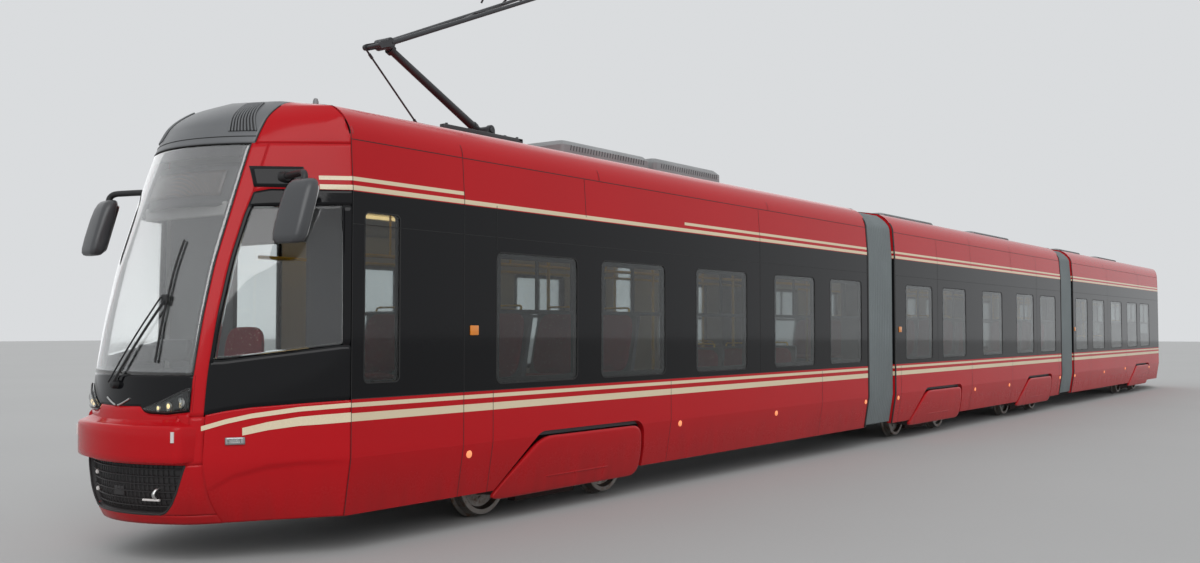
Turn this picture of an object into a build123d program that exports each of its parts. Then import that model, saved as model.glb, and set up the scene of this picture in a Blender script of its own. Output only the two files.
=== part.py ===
from build123d import *
from math import atan2, cos, degrees, radians, sin
import os

os.makedirs("parts", exist_ok=True)

# Three-section low-floor tram. The nose points to -X, the left side to -Y, +Z is up.
# The origin lies on the floor under the middle of the tram, so z = 0 is the lowest
# point of the wheel flanges. Every size is in millimetres.

# Overall sizes of the body
LENGTH = 32000
WIDTH = 2350
SKIRT_BOTTOM = 280
SKIRT_CREASE = 700
SKIRT_TUCK = 70
CANTRAIL_Z = 2670
SHOULDER_Z = 3030
SHOULDER_TUCK = 25
ROOF_EDGE_Z = 3300
ROOF_EDGE_TUCK = 235
CROWN_Z = 3390
WALL = 60

# Places along the tram, from its middle
ARTICULATION_X = 4950
GANGWAY_GAP = 920
INNER_BOGIE_X = 2680
OUTER_BOGIE_X = LENGTH / 2 - 3950

# Wheels
WHEEL_RADIUS = 300
FLANGE = 28

# Floor levels
LOW_FLOOR = 380
AISLE_FLOOR = WHEEL_RADIUS + FLANGE + 292
STEP_FLOOR = (LOW_FLOOR + AISLE_FLOOR) / 2
PODIUM_TOP = 2 * (WHEEL_RADIUS + FLANGE) + 104
FLOOR_PLATE = 60
AISLE_HALF = 430
RISER = 40
PODIUM_HALF = 1440
STEP_LENGTH = 300

# Cab and tail
CAB_SEAM = 1200
TAIL_SEAM = 1600
CAB_SKIN = 50
SCREEN_HALF = 600
SCREEN_BOTTOM = 1315
SCREEN_TOP = 2990
MASK_BOTTOM = 1090
BUMPER_BOTTOM = 700
BUMPER_TOP = 945
BUMPER_HALF = 655
BUMPER_DEPTH = 160
CAP_LENGTH = 1700
CAP_HALF = 640
CAB_FLOOR = AISLE_FLOOR

# Glazing
GLASS = 12
GLASS_INSET = 3
WINDOW_BOTTOM = 1180
WINDOW_TOP = 2280
DOOR_BOTTOM = 300
DOOR_TOP = 2600
DOOR_GAP = 0.4
DOOR_STILE = 85

# Wheels and bogies
WHEEL_WIDTH = 125
BACK_TO_BACK = 1380
AXLE_RADIUS = 70
JOURNAL_RADIUS = 60
WHEEL_FIT = 0.2
WHEELBASE = 1800
BOGIE_SIDE_Y = 870
BOGIE_SIDE_WIDTH = 90
BOGIE_BEAM_TOP = WHEEL_RADIUS + FLANGE + 152
BOGIE_BEAM_HEIGHT = 130
BEARING_GAP = 0.5
TURNTABLE_RADIUS = 260

# Bogie covers
COVER_TOP = 693
COVER_BOTTOM = 200
COVER_FRONT = 1130
COVER_REAR = 1080
COVER_SLANT = 590
COVER_ROUND = 130
COVER_GAP = 48
COVER_PROUD = 14
COVER_PLATE = 36
BRACKET_HOOK = 7

# Articulation
PIVOT_RADIUS = 110
PIVOT_PIN = 45
ARM_PLATE = 80
ARM_HALF = 420
GANGWAY_DISC = 640
GANGWAY_FLOOR = 900
PORTAL_HALF = 780
PORTAL_TOP = 2720
RUNNING_GAP = 8
BELLOWS_INSET = 25
BELLOWS_DEPTH = 110

# Pantograph, drawn raised, in the middle of the front roof
PANTO_BASE_X = -LENGTH / 2 + 3880
PANTO_BASE_Z = 3560
PANTO_LOWER = 1400
PANTO_LOWER_ANGLE = 26
PANTO_UPPER = 2550
PANTO_UPPER_ANGLE = 23.5
PANTO_TUBE = 38
ROD_PIN = 10
ROD_EYE_RADIUS = 26

# Derived sizes
HALF = WIDTH / 2
NOSE_X = -LENGTH / 2
TAIL_X = LENGTH / 2
AXLE_Z = WHEEL_RADIUS + FLANGE
FRONT_END = -ARTICULATION_X - GANGWAY_GAP / 2
MIDDLE_END = ARTICULATION_X - GANGWAY_GAP / 2
REAR_START = ARTICULATION_X + GANGWAY_GAP / 2
CAB_X = NOSE_X + CAB_SEAM
TAIL_SEAM_X = TAIL_X - TAIL_SEAM


def save(node, *solids):
    """Write one node, whose solids stay apart."""
    shape = solids[0] if len(solids) == 1 else Compound(children=list(solids))
    export_step(shape, f"parts/{node}.step")


def block(x0, x1, y0, y1, z0, z1):
    """A box between two corners, given in either order."""
    size = (abs(x1 - x0), abs(y1 - y0), abs(z1 - z0))
    return Pos((x0 + x1) / 2, (y0 + y1) / 2, (z0 + z1) / 2) * Box(*size)


def mirrored_y(shape):
    return mirror(shape, about=Plane.XZ)


def body_section(inset):
    """The body's outline across the tram as a face in the YZ plane.

    An inset outline is open below: it runs on past the bottom edge of the skirts.
    """
    low = SKIRT_BOTTOM - max(0, 2 * inset)
    tuck = SKIRT_TUCK * (SKIRT_CREASE - low) / (SKIRT_CREASE - SKIRT_BOTTOM)
    points = [
        (HALF - tuck, low),
        (HALF, SKIRT_CREASE),
        (HALF, CANTRAIL_Z),
        (HALF - SHOULDER_TUCK, SHOULDER_Z),
    ]
    edge = (HALF - ROOF_EDGE_TUCK, ROOF_EDGE_Z)
    bulge = (HALF - SHOULDER_TUCK - 68, (SHOULDER_Z + ROOF_EDGE_Z) / 2 + 34)
    left = [(-y, z) for y, z in points]
    with BuildSketch(Plane.YZ) as sketch:
        with BuildLine():
            Polyline(*points)
            ThreePointArc(points[-1], bulge, edge)
            ThreePointArc(edge, (0, CROWN_Z), (-edge[0], edge[1]))
            ThreePointArc((-edge[0], edge[1]), (-bulge[0], bulge[1]), left[-1])
            Polyline(*left[::-1])
            Line(left[0], points[0])
        make_face()
    face = sketch.sketch.faces()[0]
    return offset(face, -inset, kind=Kind.INTERSECTION) if inset else face


def body_prism(x0, x1, inset=0):
    """The body's section carried along X."""
    return Pos(x0, 0, 0) * extrude(body_section(inset), amount=x1 - x0, dir=(1, 0, 0))


# Plan of the two ends, level by level: height, how far the middle of the end lies
# behind the foremost point, the same for its corner, the corner's half width, and the
# half width at the seam
CAB_LEVELS = [
    (SKIRT_BOTTOM, 130, 320, 560, HALF - SKIRT_TUCK),
    (SKIRT_BOTTOM + 140, 75, 255, 590, HALF),
    (SKIRT_CREASE, 55, 225, 612, HALF),
    (MASK_BOTTOM, 80, 250, 612, HALF),
    (SCREEN_BOTTOM, 100, 270, 612, HALF),
    (1700, 165, 340, 614, HALF),
    (2100, 245, 435, 615, HALF),
    (2700, 445, 635, 618, HALF),
    (SHOULDER_Z, 565, 750, 620, HALF),
    (3260, 700, 870, 600, HALF),
    (3380, 980, 1080, 560, HALF),
]
# The bumper stands proud of that form, on a shelf that slopes back to the mask
BUMPER_LEVELS = [
    (BUMPER_BOTTOM - 20, 30, 190, BUMPER_HALF - 20, BUMPER_HALF - 20),
    (BUMPER_BOTTOM + 25, 0, BUMPER_DEPTH, BUMPER_HALF, BUMPER_HALF),
    (BUMPER_TOP, 0, BUMPER_DEPTH, BUMPER_HALF, BUMPER_HALF),
    (MASK_BOTTOM - 45, 70, 225, BUMPER_HALF - 25, BUMPER_HALF - 25),
]
TAIL_LEVELS = [
    (SKIRT_BOTTOM, 110, 260, 820, HALF - SKIRT_TUCK),
    (SKIRT_CREASE, 0, 150, 860, HALF),
    (1200, 20, 170, 860, HALF),
    (SHOULDER_Z, 160, 300, 830, HALF),
    (3260, 260, 390, 780, HALF),
    (CROWN_Z, 420, 520, 700, HALF),
]


def end_form(tip_x, inward, seam, levels, inset):
    """The cab's or tail's solid form: plan sections joined by ruled faces."""
    sections = []
    for z, middle, corner, corner_half, seam_half in levels:
        tip = tip_x + inward * (middle + inset)
        shoulder = tip_x + inward * (corner + inset)
        seam_x = tip_x + inward * seam
        narrow = corner_half - 0.7 * inset
        wide = seam_half - inset
        with BuildSketch(Plane.XY.offset(z)) as sketch:
            with BuildLine():
                Polyline((shoulder, narrow), (seam_x, wide), (seam_x, -wide), (shoulder, -narrow))
                ThreePointArc((shoulder, -narrow), (tip, 0), (shoulder, narrow))
            make_face()
        sections.append(sketch.sketch.faces()[0])
    return loft(sections, ruled=True)


def side_prism(points, y0=-2000, y1=2000):
    """An outline in the XZ plane carried across the tram."""
    face = make_face(Polyline(*[(x, 0, z) for x, z in points], close=True))
    return extrude(face.faces()[0], amount=y1 - y0, dir=(0, 1, 0)).moved(Pos(0, y0, 0))


def front_prism(points, x0, x1):
    """An outline in the YZ plane carried along the tram."""
    face = make_face(Polyline(*[(0, y, z) for y, z in points], close=True))
    return extrude(face.faces()[0], amount=x1 - x0, dir=(1, 0, 0)).moved(Pos(x0, 0, 0))


def rounded_window(x0, x1, z0, z1, y0, y1, radius=70):
    """A window opening with round corners, through one side."""
    radius = min(radius, 0.45 * min(x1 - x0, z1 - z0))
    face = RectangleRounded(x1 - x0, z1 - z0, radius)
    plane = Plane(origin=((x0 + x1) / 2, y0, (z0 + z1) / 2), x_dir=(1, 0, 0), z_dir=(0, 1, 0))
    return extrude(plane * face, amount=y1 - y0)


# Windows and doors
# Left windows of the end cars: start and end, from the nose or the tail
LEFT_WINDOWS = [(2800, 3930), (4300, 5420), (6020, 7140), (7800, 8900), (9350, 10350)]
# Right windows of the end cars, between the doors
RIGHT_WINDOWS = [(2800, 3930), (4300, 5420), (5750, 6700), (8800, 10100)]
# Windows of the middle car, from its middle: left, then right
MIDDLE_LEFT = [(-4050, -2950), (-2500, -1400), (-550, 550), (1400, 2500), (2950, 4050)]
MIDDLE_RIGHT = [(-4050, -2950), (-2500, -1400), (1400, 2500), (2950, 4050)]
# Doorways on the right: start, end and number of leaves, from the nose or the tail
END_DOORS = [(1700, 2500, 1), (7000, 8300, 2)]
MIDDLE_DOORS = [(-650, 650, 2)]
SMALL_WINDOW = (1320, 1680)


def door_leaves(start, end, leaves):
    """Each leaf's start and end in one doorway."""
    width = (end - start) / leaves
    return [(start + i * width, start + (i + 1) * width) for i in range(leaves)]


def end_places(pairs, tip_x, inward):
    """Turn distances from the nose or tail into X, lowest first."""
    places = []
    for place in pairs:
        ends = sorted((tip_x + inward * place[0], tip_x + inward * place[1]))
        places.append((ends[0], ends[1], *place[2:]))
    return places


CAR_TABLE = {
    # car: start, end, left windows, right windows, doors, bogies
    "front": (
        CAB_X,
        FRONT_END,
        end_places(LEFT_WINDOWS, NOSE_X, 1),
        end_places(RIGHT_WINDOWS, NOSE_X, 1),
        end_places(END_DOORS, NOSE_X, 1),
        [-OUTER_BOGIE_X],
    ),
    "middle": (
        -MIDDLE_END,
        MIDDLE_END,
        MIDDLE_LEFT,
        MIDDLE_RIGHT,
        MIDDLE_DOORS,
        [-INNER_BOGIE_X, INNER_BOGIE_X],
    ),
    "rear": (
        REAR_START,
        TAIL_SEAM_X,
        end_places(LEFT_WINDOWS, TAIL_X, -1),
        end_places(RIGHT_WINDOWS, TAIL_X, -1),
        end_places([(1900, 2700, 1), END_DOORS[1]], TAIL_X, -1),
        [OUTER_BOGIE_X],
    ),
}


def cover_prism(bogie_x, grow=0.0):
    """A bogie cover's outline across the tram: slanted in front, upright behind, corners round.

    Grown, it is the opening in the skirt, and runs out below the skirt's edge.
    """
    low = COVER_BOTTOM if grow == 0 else COVER_BOTTOM - 300
    slant = COVER_SLANT / (COVER_TOP - COVER_BOTTOM)
    top = COVER_TOP + grow
    front = bogie_x - COVER_FRONT - 1.4 * grow
    rear = bogie_x + COVER_REAR + grow
    points = [
        (front - slant * (COVER_BOTTOM - low), low),
        (front + slant * (top - COVER_BOTTOM), top),
        (rear - 60, top),
        (rear, (COVER_TOP + COVER_BOTTOM) / 2),
        (rear - 20, low),
    ]
    face = make_face(Polyline(*[(x, 0, z) for x, z in points], close=True)).faces()[0]
    face = face.fillet_2d(COVER_ROUND + grow, face.vertices())
    return extrude(face, amount=4000, dir=(0, 1, 0)).moved(Pos(0, -2000, 0))


def car_walls(start, end, left, right, doors, bogies, small):
    """The two sides: a window wall each, and the skirt panels below the crease.

    Windows, doorways and bogie openings are cut, so a skirt falls into several panels.
    """
    ring = body_prism(start, end) - body_prism(start - 10, end + 10, WALL)
    openings = [cover_prism(x, COVER_GAP) for x in bogies]
    walls = []
    for side, windows in ((-1, left), (1, right)):
        wall = ring & block(start, end, 300 * side, 2000 * side, 0, SHOULDER_Z)
        for opening in openings:
            wall -= opening
        y0, y1 = sorted((900 * side, 1400 * side))
        for x0, x1 in windows:
            wall -= rounded_window(x0, x1, WINDOW_BOTTOM, WINDOW_TOP, y0, y1)
        if side < 0 and small:
            wall -= rounded_window(*small, WINDOW_BOTTOM + 60, 2500, y0, y1, 40)
        if side > 0:
            for x0, x1, leaves in doors:
                wall -= block(x0, x1, y0, y1, 0, DOOR_TOP)
        window_wall = wall & block(start, end, y0, y1, SKIRT_CREASE, SHOULDER_Z)
        skirts = wall & block(start, end, y0, y1, 0, SKIRT_CREASE)
        walls.append([*window_wall.solids(), *skirts.solids()])
    return walls


def car_roof(start, end):
    ring = body_prism(start, end) - body_prism(start - 10, end + 10, WALL)
    return ring & block(start, end, -2000, 2000, SHOULDER_Z, 4000)


def car_doors(doors):
    """Door leaves as thick as the wall, and the pane of each."""
    leaves = []
    panes = []
    for start, end, count in doors:
        skin = body_prism(start, end) - body_prism(start - 10, end + 10, WALL)
        for x0, x1 in door_leaves(start, end, count):
            gap = DOOR_GAP
            leaf = skin & block(x0 + gap, x1 - gap, 900, 1400, DOOR_BOTTOM, DOOR_TOP - gap)
            window = (x0 + DOOR_STILE, x1 - DOOR_STILE, 620, 2450)
            leaf -= rounded_window(*window, 900, 1400, 60)
            leaves.append(leaf)
            panes.append(window)
    return leaves, panes


def pane(x0, x1, z0, z1, side, radius):
    """A pane that fills its opening from edge to edge, just inside the outer face."""
    y0, y1 = sorted((side * (HALF - GLASS_INSET - GLASS), side * (HALF - GLASS_INSET)))
    return rounded_window(x0, x1, z0, z1, y0, y1, radius)


def bent_pane(x0, x1, z0, z1, radius):
    """A door pane that follows the bend of the leaf at the skirt's crease."""
    skin = body_prism(x0, x1, GLASS_INSET) - body_prism(x0, x1, GLASS_INSET + GLASS)
    return skin & rounded_window(x0, x1, z0, z1, 900, 1400, radius)


def car_windows(left, right, small, door_panes):
    panes = [pane(x0, x1, WINDOW_BOTTOM, WINDOW_TOP, -1, 70) for x0, x1 in left]
    panes += [pane(x0, x1, WINDOW_BOTTOM, WINDOW_TOP, 1, 70) for x0, x1 in right]
    if small:
        panes.append(pane(*small, WINDOW_BOTTOM + 60, 2500, -1, 40))
    panes += [bent_pane(*window, 60) for window in door_panes]
    return panes


UNDER_AISLE = AISLE_FLOOR - FLOOR_PLATE


def bogie_floor(bogie_x):
    """Floor panels over one bogie: an aisle between two podiums that clear the wheels."""
    x0, x1 = bogie_x - PODIUM_HALF, bogie_x + PODIUM_HALF
    under_podium = PODIUM_TOP - FLOOR_PLATE
    panels = [block(x0, x1, -AISLE_HALF, AISLE_HALF, UNDER_AISLE, AISLE_FLOOR)]
    for side in (-1, 1):
        inner, riser, outer = (side * y for y in (AISLE_HALF, AISLE_HALF + RISER, HALF))
        panels.append(block(x0, x1, inner, riser, UNDER_AISLE, PODIUM_TOP))
        panels.append(block(x0, x1, riser, outer, under_podium, PODIUM_TOP))
        for edge in (x0, x1 - RISER):
            end_wall = block(edge, edge + RISER, riser, outer, LOW_FLOOR - FLOOR_PLATE, under_podium)
            panels.append(end_wall)
    panels.append(Pos(bogie_x, 0, UNDER_AISLE - 20) * Cylinder(TURNTABLE_RADIUS + 40, 40))
    return panels


def level_floor(a, b, top):
    x0, x1 = sorted((a, b))
    return block(x0, x1, -HALF, HALF, top - FLOOR_PLATE, top)


def floor_step(x, inward, low, high, half=HALF):
    """The riser at x between a lower and a higher panel, which lies on the inward side."""
    return block(x, x + inward * RISER, -half, half, low - FLOOR_PLATE, high - FLOOR_PLATE)


def portal(x0, x1):
    """The sill, two posts and head that frame a car's end round the gangway."""
    frame = body_prism(x0, x1, WALL)
    sill = frame & block(x0, x1, -HALF, HALF, LOW_FLOOR - FLOOR_PLATE, AISLE_FLOOR)
    head = frame & block(x0, x1, -HALF, HALF, PORTAL_TOP, CROWN_Z)
    posts = [
        frame & block(x0, x1, side * PORTAL_HALF, side * HALF, AISLE_FLOOR, PORTAL_TOP)
        for side in (-1, 1)
    ]
    return sill, [head, *posts]


def joint_arm(pivot_x, car_end, low, pin):
    """One half of the articulation: a tapered arm with a round eye or a pin."""
    reach = car_end - pivot_x
    sign = 1 if reach > 0 else -1
    with BuildSketch(Plane.XY.offset(low)) as sketch:
        with BuildLine():
            Polyline(
                (pivot_x, -PIVOT_RADIUS),
                (car_end + sign * 300, -ARM_HALF),
                (car_end + sign * 300, ARM_HALF),
                (pivot_x, PIVOT_RADIUS),
                close=True,
            )
        make_face()
        with Locations((pivot_x, 0)):
            Circle(PIVOT_RADIUS)
    arm = extrude(sketch.sketch, amount=ARM_PLATE)
    if pin:
        return arm + Pos(pivot_x, 0, low - ARM_PLATE / 2) * Cylinder(PIVOT_PIN, ARM_PLATE)
    bore = Cylinder(PIVOT_PIN + BEARING_GAP, 3 * ARM_PLATE)
    return arm - Pos(pivot_x, 0, low) * bore


UPPER_ARM_Z = UNDER_AISLE - ARM_PLATE - 20
LOWER_ARM_Z = UPPER_ARM_Z - ARM_PLATE - 4


def steps_beside(bogie_x, inward):
    """The step between a low floor and one end of a bogie's floor, with its risers."""
    edge = bogie_x - inward * PODIUM_HALF
    foot = edge - inward * STEP_LENGTH
    half = AISLE_HALF + RISER
    return [
        level_floor(foot, edge, STEP_FLOOR) - floor_step(foot, inward, LOW_FLOOR, STEP_FLOOR),
        floor_step(foot, inward, LOW_FLOOR, STEP_FLOOR),
        floor_step(edge, inward, STEP_FLOOR, AISLE_FLOOR, half),
    ]


def middle_panels():
    inner = INNER_BOGIE_X - PODIUM_HALF - STEP_LENGTH
    outer = INNER_BOGIE_X + PODIUM_HALF
    panels = [level_floor(-inner, inner, LOW_FLOOR)]
    for side in (-1, 1):
        panels += bogie_floor(side * INNER_BOGIE_X)
        panels += steps_beside(side * INNER_BOGIE_X, side)
        gangway = level_floor(side * outer, side * (MIDDLE_END - WALL), AISLE_FLOOR)
        disc = Pos(side * ARTICULATION_X, 0, 0) * Cylinder(GANGWAY_DISC, 3 * AISLE_FLOOR)
        panels.append(gangway - disc)
    return panels


def end_panels(bogie_x, seam, car_end, inward):
    near = bogie_x - inward * (PODIUM_HALF + STEP_LENGTH)
    far = bogie_x + inward * (PODIUM_HALF + STEP_LENGTH)
    rise = car_end - inward * GANGWAY_FLOOR
    foot = rise - inward * STEP_LENGTH
    panels = bogie_floor(bogie_x)
    panels += steps_beside(bogie_x, inward)
    panels += steps_beside(bogie_x, -inward)
    panels.append(level_floor(seam, near, LOW_FLOOR))
    panels.append(level_floor(far, foot, LOW_FLOOR))
    panels.append(floor_step(foot, inward, LOW_FLOOR, STEP_FLOOR))
    panels.append(level_floor(foot, rise, STEP_FLOOR) - panels[-1])
    panels.append(floor_step(rise, inward, STEP_FLOOR, AISLE_FLOOR))
    gangway = level_floor(rise, car_end - inward * WALL, AISLE_FLOOR)
    disc = Cylinder(GANGWAY_DISC + RUNNING_GAP, 3 * AISLE_FLOOR)
    panels.append(gangway - Pos(inward * -ARTICULATION_X, 0, 0) * disc)
    return panels


def car_floor(name):
    """The floor's panels, the frames at the gangways and the joint arms."""
    start, end, left, right, doors, bogies = CAR_TABLE[name]
    inside = body_prism(start, end, WALL)
    if name == "middle":
        panels = middle_panels()
        ends = [(-1, -MIDDLE_END), (1, MIDDLE_END)]
    elif name == "front":
        panels = end_panels(bogies[0], start, end, 1)
        ends = [(1, FRONT_END)]
    else:
        panels = end_panels(bogies[0], end, start, -1)
        ends = [(-1, REAR_START)]
    panels = [panel & inside for panel in panels]
    for outward, car_end in ends:
        pivot = car_end + outward * GANGWAY_GAP / 2
        x0, x1 = sorted((car_end, car_end - outward * WALL))
        sill, frame = portal(x0, x1)
        low = LOWER_ARM_Z if name == "middle" else UPPER_ARM_Z
        arm = joint_arm(pivot, car_end, low, name != "middle")
        if name == "middle":
            place = Pos(pivot, 0, AISLE_FLOOR - FLOOR_PLATE / 2)
            disc = place * Cylinder(GANGWAY_DISC, FLOOR_PLATE)
            panels.append(disc)
            sill -= disc
        else:
            place = Pos(pivot, 0, AISLE_FLOOR - FLOOR_PLATE / 2)
            sill -= place * Cylinder(GANGWAY_DISC + RUNNING_GAP, FLOOR_PLATE + 2)
        sill -= arm
        hanger_x = sorted((car_end - outward * 200, car_end - outward * 300))
        hanger = block(*hanger_x, -ARM_HALF, ARM_HALF, low + ARM_PLATE, UNDER_AISLE)
        panels += [*sill.solids(), *frame, arm, hanger]
    return panels


# Car shells, doors, windows and floors
SMALL_FRONT = (NOSE_X + SMALL_WINDOW[0], NOSE_X + SMALL_WINDOW[1])
cap_zone = block(NOSE_X - 10, NOSE_X + CAP_LENGTH, -CAP_HALF, CAP_HALF, SCREEN_TOP, 4000)
for car, (start, end, left, right, doors, bogies) in CAR_TABLE.items():
    small = SMALL_FRONT if car == "front" else None
    left_wall, right_wall = car_walls(start, end, left, right, doors, bogies, small)
    roof = car_roof(start, end)
    if car == "front":
        roof -= cap_zone
    leaves, door_panes = car_doors(doors)
    save(f"{car}_left_wall", *left_wall)
    save(f"{car}_right_wall", *right_wall)
    save(f"{car}_roof", roof)
    save(f"{car}_doors", *leaves)
    if car != "front":
        save(f"{car}_windows", *car_windows(left, right, small, door_panes))
    save(f"{car}_floor", *car_floor(car))


def bogie_covers(bogies):
    """A cover for each side of each bogie, on brackets under the podium."""
    low_y = HALF - SKIRT_TUCK * (SKIRT_CREASE - COVER_BOTTOM) / (SKIRT_CREASE - SKIRT_BOTTOM)
    section = [
        (low_y + COVER_PROUD, COVER_BOTTOM),
        (HALF + COVER_PROUD, SKIRT_CREASE),
        (HALF + COVER_PROUD - COVER_PLATE, SKIRT_CREASE),
        (low_y + COVER_PROUD - COVER_PLATE, COVER_BOTTOM),
    ]
    covers = []
    for bogie_x in bogies:
        for side in (-1, 1):
            ends = (bogie_x - 1500, bogie_x + 1500)
            plate = front_prism([(side * y, z) for y, z in section], *ends)
            cover = plate & cover_prism(bogie_x)
            for x in (bogie_x - 250, bogie_x + 450):
                inner = side * (HALF - WALL - 40)
                hook = COVER_TOP + BRACKET_HOOK
                cover += block(x - 60, x + 60, inner, side * (HALF - 20), 640, hook)
                cover += block(x - 60, x + 60, inner, side * (HALF - WALL - 2), 640, PODIUM_TOP - FLOOR_PLATE)
            covers.append(cover)
    return covers


for car in CAR_TABLE:
    save(f"{car}_bogie_covers", *bogie_covers(CAR_TABLE[car][5]))


# Cab: one hollow form, cut into shell, screen, mask, side windows, cap, grille and lamps
cab_form = end_form(NOSE_X, 1, CAB_SEAM, CAB_LEVELS, 0)
cab_inside = end_form(NOSE_X, 1, CAB_SEAM, CAB_LEVELS, CAB_SKIN) & body_prism(
    NOSE_X, CAB_X, CAB_SKIN + 1
)
cab_skin = (cab_form & body_prism(NOSE_X, CAB_X)) - cab_inside


def nose_cut(points):
    """A symmetric outline, given by its left half, cut through the nose."""
    right = [(-y, z) for y, z in points[::-1]]
    return front_prism([*points, *right], NOSE_X - 10, NOSE_X + 900)


screen_outline = nose_cut([(-SCREEN_HALF, SCREEN_TOP), (-SCREEN_HALF, SCREEN_BOTTOM)])
mask_outline = nose_cut(
    [
        (-SCREEN_HALF, SCREEN_BOTTOM),
        (-SCREEN_HALF, MASK_BOTTOM - 30),
        (-460, MASK_BOTTOM - 44),
        (-300, MASK_BOTTOM - 35),
        (-260, MASK_BOTTOM),
    ]
)
grille_outline = nose_cut(
    [(-560, 690), (-556, 560), (-525, 440), (-465, 375), (-380, 350)],
)
lamp_outline = [(300, 1062), (325, 1092), (590, 1195), (590, 1068), (460, 1054)]
lamp_prisms = [
    front_prism([(side * y, z) for y, z in lamp_outline], NOSE_X - 10, NOSE_X + 600)
    for side in (-1, 1)
]
CAB_WINDOW = [(440, 1420), (CAB_SEAM - 55, 1520), (CAB_SEAM - 55, 2540), (650, 2520)]
cab_window_outline = side_prism([(NOSE_X + t, z) for t, z in CAB_WINDOW])
nose_zone = block(NOSE_X - 10, NOSE_X + 1000, -SCREEN_HALF, SCREEN_HALF, 0, 4000)

windscreen = cab_skin & screen_outline
front_mask = cab_skin & mask_outline
grille = cab_skin & grille_outline
headlamps = [cab_skin & prism for prism in lamp_prisms]
side_glass = (cab_skin & cab_window_outline) - nose_zone
cab_shell = cab_skin - screen_outline - mask_outline - cap_zone - grille_outline - side_glass
for prism in lamp_prisms:
    front_mask -= prism
    cab_shell -= prism
front_ring = body_prism(CAB_X, NOSE_X + CAP_LENGTH) - body_prism(CAB_X, CAB_X + 900, WALL)
roof_cap = (cab_skin + front_ring) & cap_zone
# slanted louvres on both flanks of the cap
LOUVRE_LEAN = 250
for index in range(5):
    x = NOSE_X + 690 + 46 * index
    slot = [(x, 3080), (x + 26, 3080), (x + 26 + LOUVRE_LEAN, 3330), (x + LOUVRE_LEAN, 3330)]
    for side in (-1, 1):
        roof_cap -= side_prism(slot, *sorted((440 * side, 610 * side)))
bumper = end_form(NOSE_X, 1, 2.4 * BUMPER_DEPTH, BUMPER_LEVELS, 0) - cab_form
save("cab_shell", cab_shell)
save("windscreen", windscreen)
save("front_mask", front_mask)
save("front_bumper", bumper)
save("roof_cap", roof_cap)
save("grille", grille)
save("headlamps", *headlamps)
front_start, front_end, left, right, doors, bogies = CAR_TABLE["front"]
front_panes = car_windows(left, right, SMALL_FRONT, car_doors(doors)[1])
save("front_windows", *front_panes, *side_glass.solids())

# Tail: the same way of building, with its rear screen and lamps
tail_inside = end_form(TAIL_X, -1, TAIL_SEAM, TAIL_LEVELS, CAB_SKIN) & body_prism(
    TAIL_SEAM_X, TAIL_X, CAB_SKIN + 1
)
tail_skin = (
    end_form(TAIL_X, -1, TAIL_SEAM, TAIL_LEVELS, 0) & body_prism(TAIL_SEAM_X, TAIL_X)
) - tail_inside
rear_outline = front_prism(
    [(-740, 1500), (740, 1500), (720, 2600), (-720, 2600)], TAIL_X - 600, TAIL_X + 10
)
tail_lamp_outline = [(640, 900), (790, 900), (800, 1180), (660, 1180)]
tail_lamp_prisms = [
    front_prism([(side * y, z) for y, z in tail_lamp_outline], TAIL_X - 600, TAIL_X + 10)
    for side in (-1, 1)
]
rear_screen = tail_skin & rear_outline
tail_lamps = [tail_skin & prism for prism in tail_lamp_prisms]
tail_shell = tail_skin - rear_outline
for prism in tail_lamp_prisms:
    tail_shell -= prism
save("tail_shell", tail_shell)
save("rear_screen", rear_screen)
save("tail_lamps", *tail_lamps)

# Cab floor, driver's desk, seat and the partition behind the driver
cab_floor = block(NOSE_X, CAB_X, -HALF, HALF, CAB_FLOOR - FLOOR_PLATE, CAB_FLOOR) & cab_inside
desk_outline = [(150, 620), (420, 620), (560, 1080), (520, 1180), (260, 1200), (120, 1100)]
desk = side_prism([(NOSE_X + t, z) for t, z in desk_outline], -620, 620) & cab_inside
save("driver_desk", cab_floor + desk)

DRIVER_SEAT_X = NOSE_X + 900
seat_base = Pos(DRIVER_SEAT_X, 0, CAB_FLOOR + 150) * Cylinder(90, 300)
seat_pan = Pos(DRIVER_SEAT_X, 0, CAB_FLOOR + 350) * Box(480, 500, 110)
seat_back = Pos(DRIVER_SEAT_X + 230, 0, CAB_FLOOR + 700) * Rot(0, 8, 0) * Box(110, 460, 700)
driver_seat = seat_base + fillet(seat_pan.edges(), 30) + fillet(seat_back.edges(), 40)

partition = body_prism(CAB_X + 40, CAB_X + 80, WALL) & block(
    CAB_X, CAB_X + 100, -2000, 2000, LOW_FLOOR, 2900
)
partition -= block(CAB_X, CAB_X + 200, -620, 260, 1450, 2300)
save("cab_partition", partition)


def seat_unit(x, side, facing, floor, width):
    """A passenger seat in side view: plinth, pan and back, carried across its width."""
    outline = [(-180, 0), (140, 0), (140, 330), (230, 400), (230, 440), (-140, 430)]
    outline += [(-290, 1050), (-330, 1040), (-200, 380), (-180, 330)]
    points = [(x - facing * t, floor + z) for t, z in outline]
    outer = side * (HALF - WALL - SKIRT_TUCK)
    y0, y1 = sorted((outer, outer - side * width))
    return side_prism(points, y0, y1)


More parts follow.
